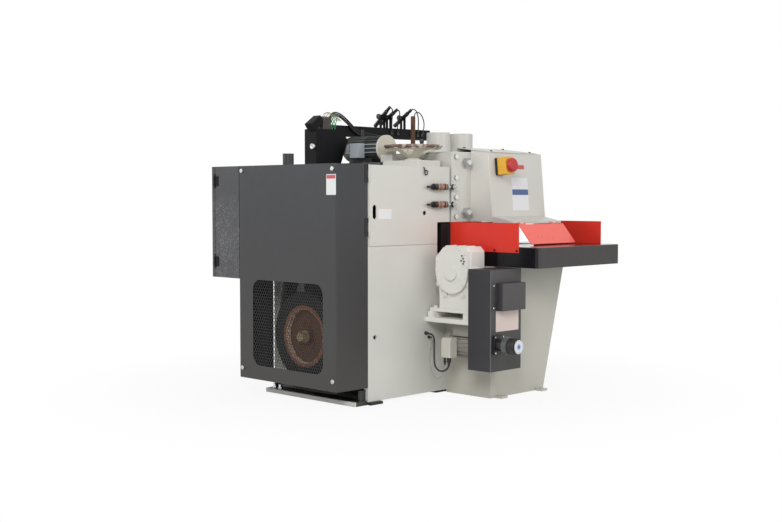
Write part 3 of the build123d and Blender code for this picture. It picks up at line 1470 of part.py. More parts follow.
# Lasers: barrels tilted down over the infeed, each turning on its pin
laser_nose = laser_length / 2
laser_waist = 3.0
lens_radius = 7.0
for laser_name, laser_y in laser_places.items():
    laser_plane = Plane(
        origin=(front + beam_x, seam + laser_y, laser_pivot_z),
        x_dir=(0, 1, 0),
        z_dir=(cos(radians(laser_tilts[laser_name])), 0, sin(radians(laser_tilts[laser_name]))),
    )
    with BuildPart() as laser:
        with BuildSketch(laser_plane.offset(-laser_nose)):
            Circle(laser_radius)
        extrude(amount=0.8 * laser_length)
        with BuildSketch(laser_plane):
            Circle(laser_radius - laser_waist)
        extrude(amount=laser_nose)
        chamfer(laser.edges().filter_by(GeomType.CIRCLE), 1)
        with BuildSketch(laser_plane.offset(-laser_nose)):
            Circle(lens_radius)
        extrude(amount=4, mode=Mode.SUBTRACT)
        rod("Y", (beam_x, laser_y - fork_gap, laser_pivot_z), 2 * fork_gap, laser_pin_radius + running_gap,
            Mode.SUBTRACT)
    save(laser, laser_name)

# Dust ports on the casting's roof
with BuildPart() as dust_ports:
    for port_y in port_places:
        rod("Z", (port_x, port_y, casting_top), port_top - casting_top, port_radius)
    for port_y in port_places:
        rod("Z", (port_x, port_y, casting_top), port_top - casting_top, port_radius - port_sheet,
            Mode.SUBTRACT)
save(dust_ports, "dust_ports")

# Spring bolts that hold the access door: barrels on the door, sliding bolts, and open keepers on the casting
bolt_heights = {"upper_spring_bolt": 1109.0, "lower_spring_bolt": 1015.0}
bolt_x = 20.0
bolt_radius = 6.0
barrel_radius = 17.0
barrel_left = 466.0
barrel_right = 566.0
barrel_foot = 12.0
bolt_tail_left = 418.0
bolt_end = 652.0
with BuildPart() as bolt_barrels:
    for barrel_z in bolt_heights.values():
        rod("Y", (bolt_x, barrel_left, barrel_z), barrel_right - barrel_left, barrel_radius)
        block(0, bolt_x, barrel_left, barrel_right, barrel_z - barrel_foot, barrel_z + barrel_foot)
        rod("Y", (bolt_x, barrel_left, barrel_z), barrel_right - barrel_left,
            bolt_radius + running_gap, Mode.SUBTRACT)
save(bolt_barrels, "bolt_barrels")

for bolt_name, bolt_z in bolt_heights.items():
    with BuildPart() as spring_bolt:
        rod("Y", (bolt_x, bolt_tail_left, bolt_z), bolt_end - bolt_tail_left, bolt_radius)
        chamfer(spring_bolt.edges().filter_by(GeomType.CIRCLE).group_by(Axis.Y)[-1], 2)
    save(spring_bolt, bolt_name)

keeper_left = 634.0
keeper_right = 648.0
keeper_reach = 30.0
keeper_half = 15.0
keeper_slot = bolt_radius + 1
with BuildPart() as door_keepers:
    for bolt_z in bolt_heights.values():
        block(0, keeper_reach, keeper_left, keeper_right, bolt_z - keeper_half, bolt_z + keeper_half)
        block(
            bolt_x - keeper_slot, keeper_reach, keeper_left, keeper_right,
            bolt_z - keeper_slot, bolt_z + keeper_slot, mode=Mode.SUBTRACT,
        )
save(door_keepers, "door_keepers")
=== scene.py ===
"""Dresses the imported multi-rip saw: paint, metal and small fittings, studio light and the photo's view."""
import math

import bmesh
import bpy
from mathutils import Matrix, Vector


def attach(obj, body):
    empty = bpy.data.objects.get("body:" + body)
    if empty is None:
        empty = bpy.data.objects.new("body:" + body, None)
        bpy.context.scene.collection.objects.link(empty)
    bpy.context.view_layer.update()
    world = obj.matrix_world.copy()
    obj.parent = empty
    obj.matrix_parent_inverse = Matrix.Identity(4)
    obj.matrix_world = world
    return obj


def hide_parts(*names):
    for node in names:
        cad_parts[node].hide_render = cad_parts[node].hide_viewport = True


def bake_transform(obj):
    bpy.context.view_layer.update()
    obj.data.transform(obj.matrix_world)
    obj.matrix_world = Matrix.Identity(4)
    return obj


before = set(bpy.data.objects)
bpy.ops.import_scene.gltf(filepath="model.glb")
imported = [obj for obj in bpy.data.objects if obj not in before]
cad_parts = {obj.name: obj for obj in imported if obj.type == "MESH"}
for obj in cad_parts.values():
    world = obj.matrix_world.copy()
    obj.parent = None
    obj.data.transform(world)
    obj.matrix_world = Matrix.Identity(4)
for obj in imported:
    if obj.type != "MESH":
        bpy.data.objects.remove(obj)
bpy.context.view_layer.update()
scene = bpy.context.scene

# Places are in millimetres from the outfeed face (X), the seam behind the pulley cover (Y) and the floor (Z)
FRONT = 358.0
SEAM = -563.0
MM = 0.001
X = Vector((1, 0, 0))
Y = Vector((0, 1, 0))
Z = Vector((0, 0, 1))


def at(x, y, z):
    """A place in metres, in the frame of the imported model."""
    return Vector(((x + FRONT) * MM, (y + SEAM) * MM, z * MM))


# Colours, linear
WARM_WHITE = (0.64, 0.63, 0.585)
CREAM = (0.66, 0.63, 0.53)
CHARCOAL = (0.038, 0.034, 0.032)
SLATE = (0.021, 0.023, 0.028)
BLACK = (0.007, 0.007, 0.009)
RED = (0.82, 0.042, 0.026)
YELLOW = (0.85, 0.46, 0.035)
STOP_RED = (0.50, 0.018, 0.020)
MOTOR_GREEN = (0.10, 0.11, 0.085)
RUST = (0.20, 0.088, 0.050)
BLUE = (0.045, 0.095, 0.27)
BLACK_PLASTIC = (0.012, 0.012, 0.013)
WORN_LIGHT = (0.42, 0.41, 0.38)
WORN_DARK = (0.20, 0.20, 0.21)

# Scales of the noise in paint, per metre
CLOUDS = 2.4
FINE = 22.0
RAGGED = 60.0
FLECKS = 120.0
FLECK_PATCHES = 5.0
ORANGE_PEEL = 420.0

# Heights in millimetres between which the flecks come in, downwards
FLECK_HEIGHTS = 1080, 960

# Half the width of a zone's soft edge in metres, and where a box's soft edge starts as a share of its half
SOFT_EDGE = 0.0004
BOX_EDGE = 0.995


def new_material(name):
    """A material with its Principled shader, its node tree and a link function."""
    material = bpy.data.materials.new(name)
    material.use_nodes = True
    tree = material.node_tree
    shader = next(node for node in tree.nodes if node.type == "BSDF_PRINCIPLED")
    return material, shader, tree.nodes, tree.links


def object_coords(nodes, links, scale=(1, 1, 1)):
    """Object coordinates, stretched by a scale along each axis."""
    coords = nodes.new("ShaderNodeTexCoord")
    mapping = nodes.new("ShaderNodeMapping")
    mapping.inputs["Scale"].default_value = scale
    links.new(coords.outputs["Object"], mapping.inputs["Vector"])
    return mapping.outputs["Vector"]


def noise(nodes, links, vector, scale, detail=4.0, rough=0.55):
    """A noise texture's grey value."""
    texture = nodes.new("ShaderNodeTexNoise")
    texture.inputs["Scale"].default_value = scale
    texture.inputs["Detail"].default_value = detail
    texture.inputs["Roughness"].default_value = rough
    links.new(vector, texture.inputs["Vector"])
    return texture.outputs["Fac"]


def ramp(nodes, links, value, stops):
    """A colour ramp over a value, with (position, colour) stops."""
    node = nodes.new("ShaderNodeValToRGB")
    elements = node.color_ramp.elements
    while len(elements) < len(stops):
        elements.new(0.5)
    for element, (position, colour) in zip(elements, stops):
        element.position = position
        element.color = (*colour, 1.0)
    links.new(value, node.inputs["Fac"])
    return node.outputs["Color"]


def span(nodes, links, value, low, high, to_low, to_high):
    """A value mapped from one range to another, clamped."""
    node = nodes.new("ShaderNodeMapRange")
    for socket, number in (("From Min", low), ("From Max", high), ("To Min", to_low), ("To Max", to_high)):
        node.inputs[socket].default_value = number
    links.new(value, node.inputs["Value"])
    return node.outputs["Result"]


def vector_math(nodes, links, operation, first, second, output="Vector"):
    """A vector operation on a socket and a fixed vector."""
    node = nodes.new("ShaderNodeVectorMath")
    node.operation = operation
    links.new(first, node.inputs[0])
    node.inputs[1].default_value = second
    return node.outputs[output]


def bump(nodes, links, shader, height, strength, distance):
    """A bump on the shader's normal from a height value."""
    node = nodes.new("ShaderNodeBump")
    node.inputs["Strength"].default_value = strength
    node.inputs["Distance"].default_value = distance
    links.new(height, node.inputs["Height"])
    links.new(node.outputs["Normal"], shader.inputs["Normal"])


def shade(colour, factor):
    """A colour made lighter or darker."""
    return tuple(channel * factor for channel in colour)


def blend_colours(nodes, links, first, second, factor):
    """A mix of two colour sockets by a value socket."""
    node = nodes.new("ShaderNodeMix")
    node.data_type = "RGBA"
    links.new(factor, node.inputs[0])
    links.new(first, node.inputs[6])
    links.new(second, node.inputs[7])
    return node.outputs[2]


def blend_values(nodes, links, first, second, factor):
    """A mix of two value sockets by a value socket."""
    node = nodes.new("ShaderNodeMix")
    links.new(factor, node.inputs[0])
    links.new(first, node.inputs[2])
    links.new(second, node.inputs[3])
    return node.outputs[0]


def beyond(direction, place):
    """A zone past a plane: the direction that the plane faces, and a place on it in metres."""
    normal = Vector(direction).normalized()

    def mask(nodes, links):
        coords = nodes.new("ShaderNodeTexCoord")
        depth = vector_math(nodes, links, "DOT_PRODUCT", coords.outputs["Object"], normal, "Value")
        edge = normal.dot(place)
        return span(nodes, links, depth, edge - SOFT_EDGE, edge + SOFT_EDGE, 0.0, 1.0)

    return mask


def outside(axis, place, radius):
    """A zone further than a radius in millimetres from an axis through a place."""
    across = Vector(1 - abs(component) for component in axis)

    def mask(nodes, links):
        coords = nodes.new("ShaderNodeTexCoord")
        offset = vector_math(nodes, links, "SUBTRACT", coords.outputs["Object"], place)
        flat = vector_math(nodes, links, "MULTIPLY", offset, across)
        length = vector_math(nodes, links, "LENGTH", flat, (0, 0, 0), "Value")
        return span(nodes, links, length, radius * MM - SOFT_EDGE, radius * MM + SOFT_EDGE, 0.0, 1.0)

    return mask


def inside(low, high):
    """A zone within a box between two corners."""
    centre = (low + high) / 2
    half = (high - low) / 2

    def mask(nodes, links):
        coords = nodes.new("ShaderNodeTexCoord")
        offset = vector_math(nodes, links, "SUBTRACT", coords.outputs["Object"], centre)
        distance = vector_math(nodes, links, "ABSOLUTE", offset, (0, 0, 0))
        away = vector_math(nodes, links, "DIVIDE", distance, half)
        parts = nodes.new("ShaderNodeSeparateXYZ")
        links.new(away, parts.inputs[0])
        furthest = parts.outputs[0]
        for part in (parts.outputs[1], parts.outputs[2]):
            most = nodes.new("ShaderNodeMath")
            most.operation = "MAXIMUM"
            links.new(furthest, most.inputs[0])
            links.new(part, most.inputs[1])
            furthest = most.outputs[0]
        return span(nodes, links, furthest, BOX_EDGE, 1.0, 1.0, 0.0)

    return mask


def rising(low, high):
    """A zone that comes in slowly from one height to another, up or down, in millimetres."""

    def mask(nodes, links):
        coords = nodes.new("ShaderNodeTexCoord")
        height = vector_math(nodes, links, "DOT_PRODUCT", coords.outputs["Object"], Z, "Value")
        return span(nodes, links, height, low * MM, high * MM, 0.0, 1.0)

    return mask


def facing(direction):
    """A zone of the faces that look along a direction."""

    def mask(nodes, links):
        coords = nodes.new("ShaderNodeTexCoord")
        cosine = vector_math(nodes, links, "DOT_PRODUCT", coords.outputs["Normal"], direction, "Value")
        return span(nodes, links, cosine, 0.6, 0.8, 0.0, 1.0)

    return mask


def blotches(scale, low, high):
    """A zone of ragged blotches of a given size."""

    def mask(nodes, links):
        level = noise(nodes, links, object_coords(nodes, links), scale, 5.0)
        return span(nodes, links, level, low, high, 0.0, 1.0)

    return mask


def both(first, second):
    """A zone where two zones meet."""

    def mask(nodes, links):
        node = nodes.new("ShaderNodeMath")
        node.operation = "MULTIPLY"
        links.new(first(nodes, links), node.inputs[0])
        links.new(second(nodes, links), node.inputs[1])
        return node.outputs[0]

    return mask


def worn_or_highlit_edge(nodes, links, place, radius, amount, ragged_from):
    """A mask along the sharp edges, scuffed or carrying a painted highlight, ragged where the noise stays
    under a level.
    """
    soft = nodes.new("ShaderNodeBevel")
    soft.samples = 4
    soft.inputs["Radius"].default_value = radius * MM
    geometry = nodes.new("ShaderNodeNewGeometry")
    across = nodes.new("ShaderNodeVectorMath")
    across.operation = "DOT_PRODUCT"
    links.new(soft.outputs["Normal"], across.inputs[0])
    links.new(geometry.outputs["True Normal"], across.inputs[1])
    edge = span(nodes, links, across.outputs["Value"], 0.86, 0.99, 1.0, 0.0)
    ragged = noise(nodes, links, place, RAGGED, 6.0)
    worn_or_highlit = nodes.new("ShaderNodeMath")
    worn_or_highlit.operation = "MULTIPLY"
    links.new(edge, worn_or_highlit.inputs[0])
    kept = span(nodes, links, ragged, ragged_from, ragged_from + 0.18, 0.0, amount)
    links.new(kept, worn_or_highlit.inputs[1])
    return worn_or_highlit.outputs[0]


def paint(
    name, colour, rough=0.42, peel=0.10, coat=0.0, edge_wear_or_highlight=0.0, worn_or_highlit=WORN_LIGHT, zones=(), shine=0.5, fleck=0.0,
    edge_radius=1.6, ragged_from=0.42,
):
    """Sprayed paint: faint clouding, orange peel, uneven gloss, scuffed edges or painted edge highlights,
    flecks and zones.
    """
    material, shader, nodes, links = new_material(name)
    place = object_coords(nodes, links)
    cloud = noise(nodes, links, place, CLOUDS)
    fine = noise(nodes, links, place, FINE)
    tone = ramp(nodes, links, cloud, [(0.30, shade(colour, 0.97)), (0.70, shade(colour, 1.02))])
    gloss = span(nodes, links, fine, 0.3, 0.7, rough - 0.04, rough + 0.05)
    for zone, zone_colour, zone_rough in zones:
        mask = zone(nodes, links)
        zone_tone = ramp(
            nodes, links, cloud, [(0.30, shade(zone_colour, 0.96)), (0.70, shade(zone_colour, 1.03))]
        )
        zone_gloss = span(nodes, links, fine, 0.3, 0.7, zone_rough - 0.04, zone_rough + 0.05)
        tone = blend_colours(nodes, links, tone, zone_tone, mask)
        gloss = blend_values(nodes, links, gloss, zone_gloss, mask)
    if fleck:
        patches = both(blotches(FLECK_PATCHES, 0.36, 0.60), rising(*FLECK_HEIGHTS))
        speck = both(blotches(FLECKS, 0.50, 0.64), patches)
        bright = ramp(nodes, links, cloud, [(0.3, shade(colour, fleck)), (0.7, shade(colour, 1.3 * fleck))])
        tone = blend_colours(nodes, links, tone, bright, speck(nodes, links))
    if edge_wear_or_highlight:
        edge_tone = ramp(nodes, links, fine, [(0.3, worn_or_highlit), (0.7, shade(worn_or_highlit, 1.25))])
        mask = worn_or_highlit_edge(nodes, links, place, edge_radius, edge_wear_or_highlight, ragged_from)
        tone = blend_colours(nodes, links, tone, edge_tone, mask)
    links.new(tone, shader.inputs["Base Color"])
    links.new(gloss, shader.inputs["Roughness"])
    shader.inputs["Specular IOR Level"].default_value = shine
    shader.inputs["Coat Weight"].default_value = coat
    shader.inputs["Coat Roughness"].default_value = 0.12
    bump(nodes, links, shader, noise(nodes, links, place, ORANGE_PEEL, 2.0), peel, 0.0006)
    return material


def metal(name, colour, rough=0.32, grain=(8, 8, 240), stain=0.10):
    """Worked metal: a fine grain along one direction, with faint staining."""
    material, shader, nodes, links = new_material(name)
    streak = noise(nodes, links, object_coords(nodes, links, grain), 6.0, 5.0)
    cloud = noise(nodes, links, object_coords(nodes, links), 14.0, 5.0)
    tone = ramp(nodes, links, cloud, [(0.35, shade(colour, 1 - 2 * stain)), (0.65, shade(colour, 1 + stain))])
    links.new(tone, shader.inputs["Base Color"])
    shader.inputs["Metallic"].default_value = 1.0
    links.new(span(nodes, links, streak, 0.3, 0.7, rough - 0.08, rough + 0.12), shader.inputs["Roughness"])
    bump(nodes, links, shader, streak, 0.12, 0.0004)
    return material


def plastic(name, colour, rough=0.38, grain=0.12, zones=()):
    """Moulded plastic or rubber: a fine texture, slight clouding and zones of other colours."""
    material, shader, nodes, links = new_material(name)
    place = object_coords(nodes, links)
    cloud = noise(nodes, links, place, 25.0, 4.0)
    tone = ramp(nodes, links, cloud, [(0.3, shade(colour, 0.92)), (0.7, shade(colour, 1.08))])
    for zone, zone_colour in zones:
        zone_tone = ramp(
            nodes, links, cloud, [(0.3, shade(zone_colour, 0.92)), (0.7, shade(zone_colour, 1.08))]
        )
        tone = blend_colours(nodes, links, tone, zone_tone, zone(nodes, links))
    links.new(tone, shader.inputs["Base Color"])
    links.new(span(nodes, links, cloud, 0.3, 0.7, rough - 0.05, rough + 0.10), shader.inputs["Roughness"])
    bump(nodes, links, shader, noise(nodes, links, place, 900.0, 2.0), grain, 0.0003)
    return material


def rust(name, colour, zones=()):
    """Rusted cast iron: blotches from dark brown to orange on a rough skin, and zones of other colours."""
    material, shader, nodes, links = new_material(name)
    place = object_coords(nodes, links)
    blotch = noise(nodes, links, place, 38.0, 8.0, 0.65)

    def mottled(base):
        stops = [(0.28, shade(base, 0.50)), (0.48, base), (0.62, shade(base, 1.35)), (0.74, shade(base, 1.8))]
        return ramp(nodes, links, blotch, stops)

    tone = mottled(colour)
    for zone, zone_colour in zones:
        tone = blend_colours(nodes, links, tone, mottled(zone_colour), zone(nodes, links))
    links.new(tone, shader.inputs["Base Color"])
    links.new(span(nodes, links, blotch, 0.3, 0.7, 0.65, 0.95), shader.inputs["Roughness"])
    shader.inputs["Specular IOR Level"].default_value = 0.25
    bump(nodes, links, shader, noise(nodes, links, place, 260.0, 6.0), 0.45, 0.0012)
    return material


# Camera at the photo's place
CAMERA_LENS = 54.71
CAMERA_AZIMUTH = math.radians(44.63)
CAMERA_TILT = math.radians(3.037)
camera_data = bpy.data.cameras.new("photo_view")
camera_data.lens = CAMERA_LENS
camera_data.sensor_width = 36.0
camera_data.clip_end = 200.0
camera = bpy.data.objects.new("photo_view", camera_data)
camera.location = at(4282, -4172, 1050)
look = Vector((
    -math.sin(CAMERA_AZIMUTH) * math.cos(CAMERA_TILT),
    math.cos(CAMERA_AZIMUTH) * math.cos(CAMERA_TILT),
    -math.sin(CAMERA_TILT),
))
camera.rotation_euler = look.to_track_quat("-Z", "Y").to_euler()
scene.collection.objects.link(camera)
scene.camera = camera
scene.view_settings.view_transform = "Standard"

# Places that materials and fittings share, in millimetres where they are plain numbers
LIFT_AXIS = at(-200, 539, 0)
WHEEL_RIM_INSIDE = 144
HOOD_OUT = Vector((0.99572, 0, 0.09244))
HOOD_UP = Vector((-0.09244, 0, 0.99572))
HOOD_FOOT_HEIGHT = 921
HOOD_FOOT = at(157, 0, HOOD_FOOT_HEIGHT)
KNOB_Y, KNOB_Z = 466, 308
KNOB_AXIS = at(0, KNOB_Y, KNOB_Z)
MOTOR_AXIS = at(-317, 0, 338)
NUT_CORNER = at(60, 780, 1300)

# Looks: zones are (where, colour, roughness), each over the ones before it
PAINTS = {
    "light_paint": dict(colour=WARM_WHITE, rough=0.40, coat=0.15, edge_wear_or_highlight=0.45),
    # Continuous light lines along the casting's edges are a painted highlight.
    "casting_paint": dict(
        colour=WARM_WHITE, rough=0.46, peel=0.35, coat=0.10, edge_wear_or_highlight=0.9, worn_or_highlit=(0.84, 0.83, 0.80),
        edge_radius=3.0, ragged_from=0.0,
    ),
    # The hood's left side is painted lighter and its edges carry light lines: painted highlights on one
    # paint.
    "hood_paint": dict(
        colour=WARM_WHITE, rough=0.40, coat=0.15, edge_wear_or_highlight=0.9, worn_or_highlit=(0.86, 0.85, 0.82),
        zones=[(facing(-Y), shade(WARM_WHITE, 1.14), 0.34)], edge_radius=4.0, ragged_from=0.0,
    ),
    "reducer_paint": dict(colour=(0.79, 0.78, 0.73), rough=0.46, peel=0.35, coat=0.10, edge_wear_or_highlight=0.30),
    "pedestal_paint": dict(colour=(0.56, 0.545, 0.475), rough=0.40, coat=0.15, edge_wear_or_highlight=0.45),
    "charcoal_paint": dict(
        colour=CHARCOAL, rough=0.44, peel=0.22, edge_wear_or_highlight=0.55, worn_or_highlit=WORN_DARK,
        zones=[
            (rising(150, 1150), SLATE, 0.44),
            # The inside of the pulley cover is painted black as painted shade.
            (inside(at(-764.5, -214.5, 80), at(-1.5, 20, 1218.5)), BLACK, 0.60),
        ],
    ),
    # The case's front faces are painted lighter than its sides and lighter again higher up, with a light line
    # down the front edge: painted light and a painted highlight.
    "case_paint": dict(
        colour=(0.030, 0.030, 0.035), rough=0.44, peel=0.22, edge_wear_or_highlight=0.55, worn_or_highlit=WORN_DARK,
        zones=[
            (facing(X), (0.034, 0.033, 0.031), 0.44),
            (both(facing(X), rising(250, 640)), (0.062, 0.057, 0.058), 0.44),
            (inside(at(456.5, 412, 0), at(461, 415.5, 800)), (0.12, 0.12, 0.13), 0.40),
        ],
    ),
    "black_paint": dict(
        colour=(0.004, 0.004, 0.005), rough=0.55, edge_wear_or_highlight=0.25, worn_or_highlit=(0.06, 0.06, 0.06), shine=0.15
    ),
    "screen_paint": dict(colour=(0.030, 0.029, 0.029), rough=0.45),
    "cabinet_paint": dict(
        colour=(0.036, 0.037, 0.041), rough=0.30, peel=1.0, edge_wear_or_highlight=0.45, worn_or_highlit=WORN_DARK,
        zones=[
            (rising(1080, 900), (0.052, 0.052, 0.055), 0.30),
            (inside(at(-981, -230, 600), at(-971, -180, 1240)), BLACK, 0.50),
        ],
        fleck=4.5,
    ),
    "table_paint": dict(
        colour=BLACK, rough=0.12, peel=0.04, edge_wear_or_highlight=0.30, worn_or_highlit=(0.10, 0.10, 0.10), shine=0.3,
        zones=[
            (facing(X), (0.050, 0.047, 0.046), 0.50),
            (inside(at(-740, 560, 750), at(10, 642, 915)), BLACK, 0.60),
        ],
    ),
    "red_paint": dict(colour=RED, rough=0.32, peel=0.06, shine=0.35),
    # The flap's red is lighter and pinker than the walls' red: a painted reflection of the bright surround on
    # its gloss.
    "flap_paint": dict(colour=(0.98, 0.135, 0.100), rough=0.30, peel=0.06, coat=0.15),
    "body_paint": dict(
        colour=WARM_WHITE, rough=0.40, coat=0.15, edge_wear_or_highlight=0.45,
        zones=[
            # A near-black strip in the gap beside the access door and a near-black patch on the wall behind
            # the pulley are painted shade.
            (inside(at(-40, 610, 915), at(2, 640, 1225)), (0.030, 0.030, 0.030), 0.50),
            (inside(at(-486, -3, 100), at(-25, 14, 770)), (0.025, 0.025, 0.026), 0.60),
        ],
    ),
    "rail_paint": dict(
        colour=WARM_WHITE, rough=0.40, coat=0.15, edge_wear_or_highlight=0.45,
        # The rail's inside, under the cover, is painted near black as painted shade.
        zones=[(beyond(Y, at(0, -78, 0)), (0.020, 0.020, 0.020), 0.50)],
    ),
    # The bolt heads' faces towards X are painted near white and their other faces dark: painted highlight and
    # painted shade on one paint.
    "fastener_paint": dict(
        colour=(0.34, 0.33, 0.31), rough=0.40, peel=0.20, coat=0.10,
        zones=[
            (facing(X), (0.84, 0.84, 0.82), 0.30),
            (beyond(Y, at(0, 700, 0)), (0.62, 0.62, 0.60), 0.26),
            (inside(at(5.3, 700, 900), NUT_CORNER), (0.36, 0.36, 0.35), 0.20),
            (inside(at(29.3, 700, 900), NUT_CORNER), (0.70, 0.70, 0.68), 0.20),
        ],
    ),
    # The keepers' roots by the seam are painted black as painted shadow; their tips are light metal.
    "keeper_paint": dict(
        colour=BLACK, rough=0.40, zones=[(beyond(X, at(11, 0, 0)), (0.66, 0.65, 0.62), 0.35)]
    ),
    "terminal_paint": dict(
        colour=(0.60, 0.575, 0.51), rough=0.45, peel=0.20, coat=0.05, edge_wear_or_highlight=0.30,
        zones=[(beyond(-Z, at(0, 0, 220)), BLACK, 0.40)],
    ),
    "lift_motor_paint": dict(
        colour=(0.12, 0.125, 0.12), rough=0.42, peel=0.20, coat=0.05, edge_wear_or_highlight=0.40, worn_or_highlit=(0.26, 0.26, 0.25),
        zones=[
            # The motor's right half is painted darker as painted shade.
            (beyond(X, at(-530, 0, 0)), (0.040, 0.042, 0.042), 0.36),
            (beyond(-X, at(-635, 0, 0)), MOTOR_GREEN, 0.38),
            (beyond(-Y, at(0, 472, 0)), (0.42, 0.46, 0.50), 0.34),
            (beyond(X, at(-412.6, 0, 0)), CREAM, 0.40),
            (beyond(-Z, at(0, 0, 1246)), (0.050, 0.052, 0.058), 0.45),
        ],
    ),
    "feed_motor_paint": dict(colour=(0.30, 0.29, 0.255), rough=0.45, peel=0.25, coat=0.05, edge_wear_or_highlight=0.40),
    "wheel_paint": dict(
        colour=CREAM, rough=0.40, peel=0.12, coat=0.20, edge_wear_or_highlight=0.35, worn_or_highlit=(0.45, 0.40, 0.34),
        zones=[
            (outside(Z, LIFT_AXIS, WHEEL_RIM_INSIDE), (0.15, 0.080, 0.058), 0.14),
            # Light blotches on the rim's brown stand partly for metal showing through the rust and partly for
            # painted highlights.
            (
                both(outside(Z, LIFT_AXIS, WHEEL_RIM_INSIDE), blotches(26.0, 0.50, 0.56)),
                (0.50, 0.44, 0.38), 0.14,
            ),
            (beyond(Z, at(0, 0, 1341)), BLACK, 0.30),
        ],
    ),
    "barrel_lacquer": dict(
        colour=(0.25, 0.120, 0.070), rough=0.32, peel=0.08, coat=0.2, edge_wear_or_highlight=0.3,
        zones=[(beyond(-Y, at(0, 493, 0)), BLACK, 0.35), (beyond(Y, at(0, 538, 0)), BLACK, 0.35)],
    ),
    "label_white": dict(colour=(0.78, 0.78, 0.79), rough=0.30, peel=0.02, coat=0.3),
    "label_pink": dict(colour=(0.70, 0.58, 0.53), rough=0.32, peel=0.02, coat=0.3),
    "label_blue": dict(colour=BLUE, rough=0.30, peel=0.02, coat=0.3),
    "label_red": dict(colour=(0.55, 0.060, 0.070), rough=0.30, peel=0.02, coat=0.3),
    "bolt_steel": dict(
        colour=(0.60, 0.60, 0.58), rough=0.30, peel=0.05, coat=0.1,
        zones=[(beyond(-Y, at(0, 465.8, 0)), BLACK, 0.30)],
    ),
    "hinge_paint": dict(
        colour=CHARCOAL, rough=0.40, shine=0.15,
        zones=[
            (beyond(Y, at(0, -0.5, 0)), WARM_WHITE, 0.40),
            (beyond(-X, at(-500, 0, 0)), BLACK, 0.55),
        ],
    ),
}
PLASTICS = {
    "yellow_plastic": dict(
        colour=YELLOW, rough=0.40,
        zones=[(beyond(-HOOD_OUT, at(129.2, 875, 1220) + 18 * MM * HOOD_OUT), BLACK_PLASTIC)],
    ),
    "red_plastic": dict(colour=STOP_RED, rough=0.30, grain=0.05),
    "black_plastic": dict(colour=BLACK_PLASTIC, rough=0.36),
    "flange_plastic": dict(
        colour=BLACK_PLASTIC, rough=0.34, grain=0.10,
        zones=[(beyond(X, at(517.5, 0, 0)), (0.085, 0.098, 0.092))],
    ),
    "ring_plastic": dict(colour=(0.42, 0.27, 0.21), rough=0.35),
    "dial_plastic": dict(
        colour=(0.055, 0.15, 0.36), rough=0.28, grain=0.05,
        zones=[
            (outside(X, KNOB_AXIS, 9), (0.40, 0.52, 0.68)),
            (outside(X, KNOB_AXIS, 16), (0.74, 0.75, 0.80)),
        ],
    ),
    "rubber": dict(colour=(0.012, 0.012, 0.012), rough=0.62, grain=0.25),
    "cable_black": dict(colour=(0.010, 0.010, 0.011), rough=0.45, grain=0.10),
    "cable_grey": dict(colour=(0.34, 0.33, 0.30), rough=0.48, grain=0.10),
    "cable_green": dict(colour=(0.030, 0.24, 0.080), rough=0.42, grain=0.10),
    "lead_green": dict(colour=(0.014, 0.030, 0.018), rough=0.42, grain=0.10),
    "cable_white": dict(colour=(0.36, 0.30, 0.20), rough=0.42, grain=0.10),
    "relay_brown": dict(colour=(0.030, 0.020, 0.015), rough=0.40),
}
METALS = {
    "zinc": dict(colour=(0.55, 0.55, 0.53), rough=0.36),
    "steel": dict(colour=(0.56, 0.56, 0.56), rough=0.30),
    "chrome": dict(colour=(0.72, 0.72, 0.72), rough=0.14, stain=0.04),
    "black_steel": dict(colour=(0.045, 0.045, 0.048), rough=0.40),
    "grey_iron": dict(colour=(0.16, 0.16, 0.16), rough=0.50, grain=(20, 20, 20)),
}
RUSTED = {
    "rusty_iron": dict(
        colour=(0.34, 0.25, 0.13),
        zones=[
            # The recess inside the rim is a darker rust, partly painted shade.
            (outside(Y, MOTOR_AXIS, 31), (0.105, 0.048, 0.026)),
            # A thin light ring at the rim's inner lip is a painted highlight.
            (outside(Y, MOTOR_AXIS, 138.5), (0.50, 0.38, 0.29)),
            (outside(Y, MOTOR_AXIS, 141), RUST),
            (outside(Y, MOTOR_AXIS, 160), (0.012, 0.012, 0.012)),
        ],
    ),
    "brown_steel": dict(colour=(0.085, 0.045, 0.030)),
}
MATERIALS = {}
for make, looks in ((paint, PAINTS), (plastic, PLASTICS), (metal, METALS), (rust, RUSTED)):
    for material_name, settings in looks.items():
        MATERIALS[material_name] = make(material_name, **settings)

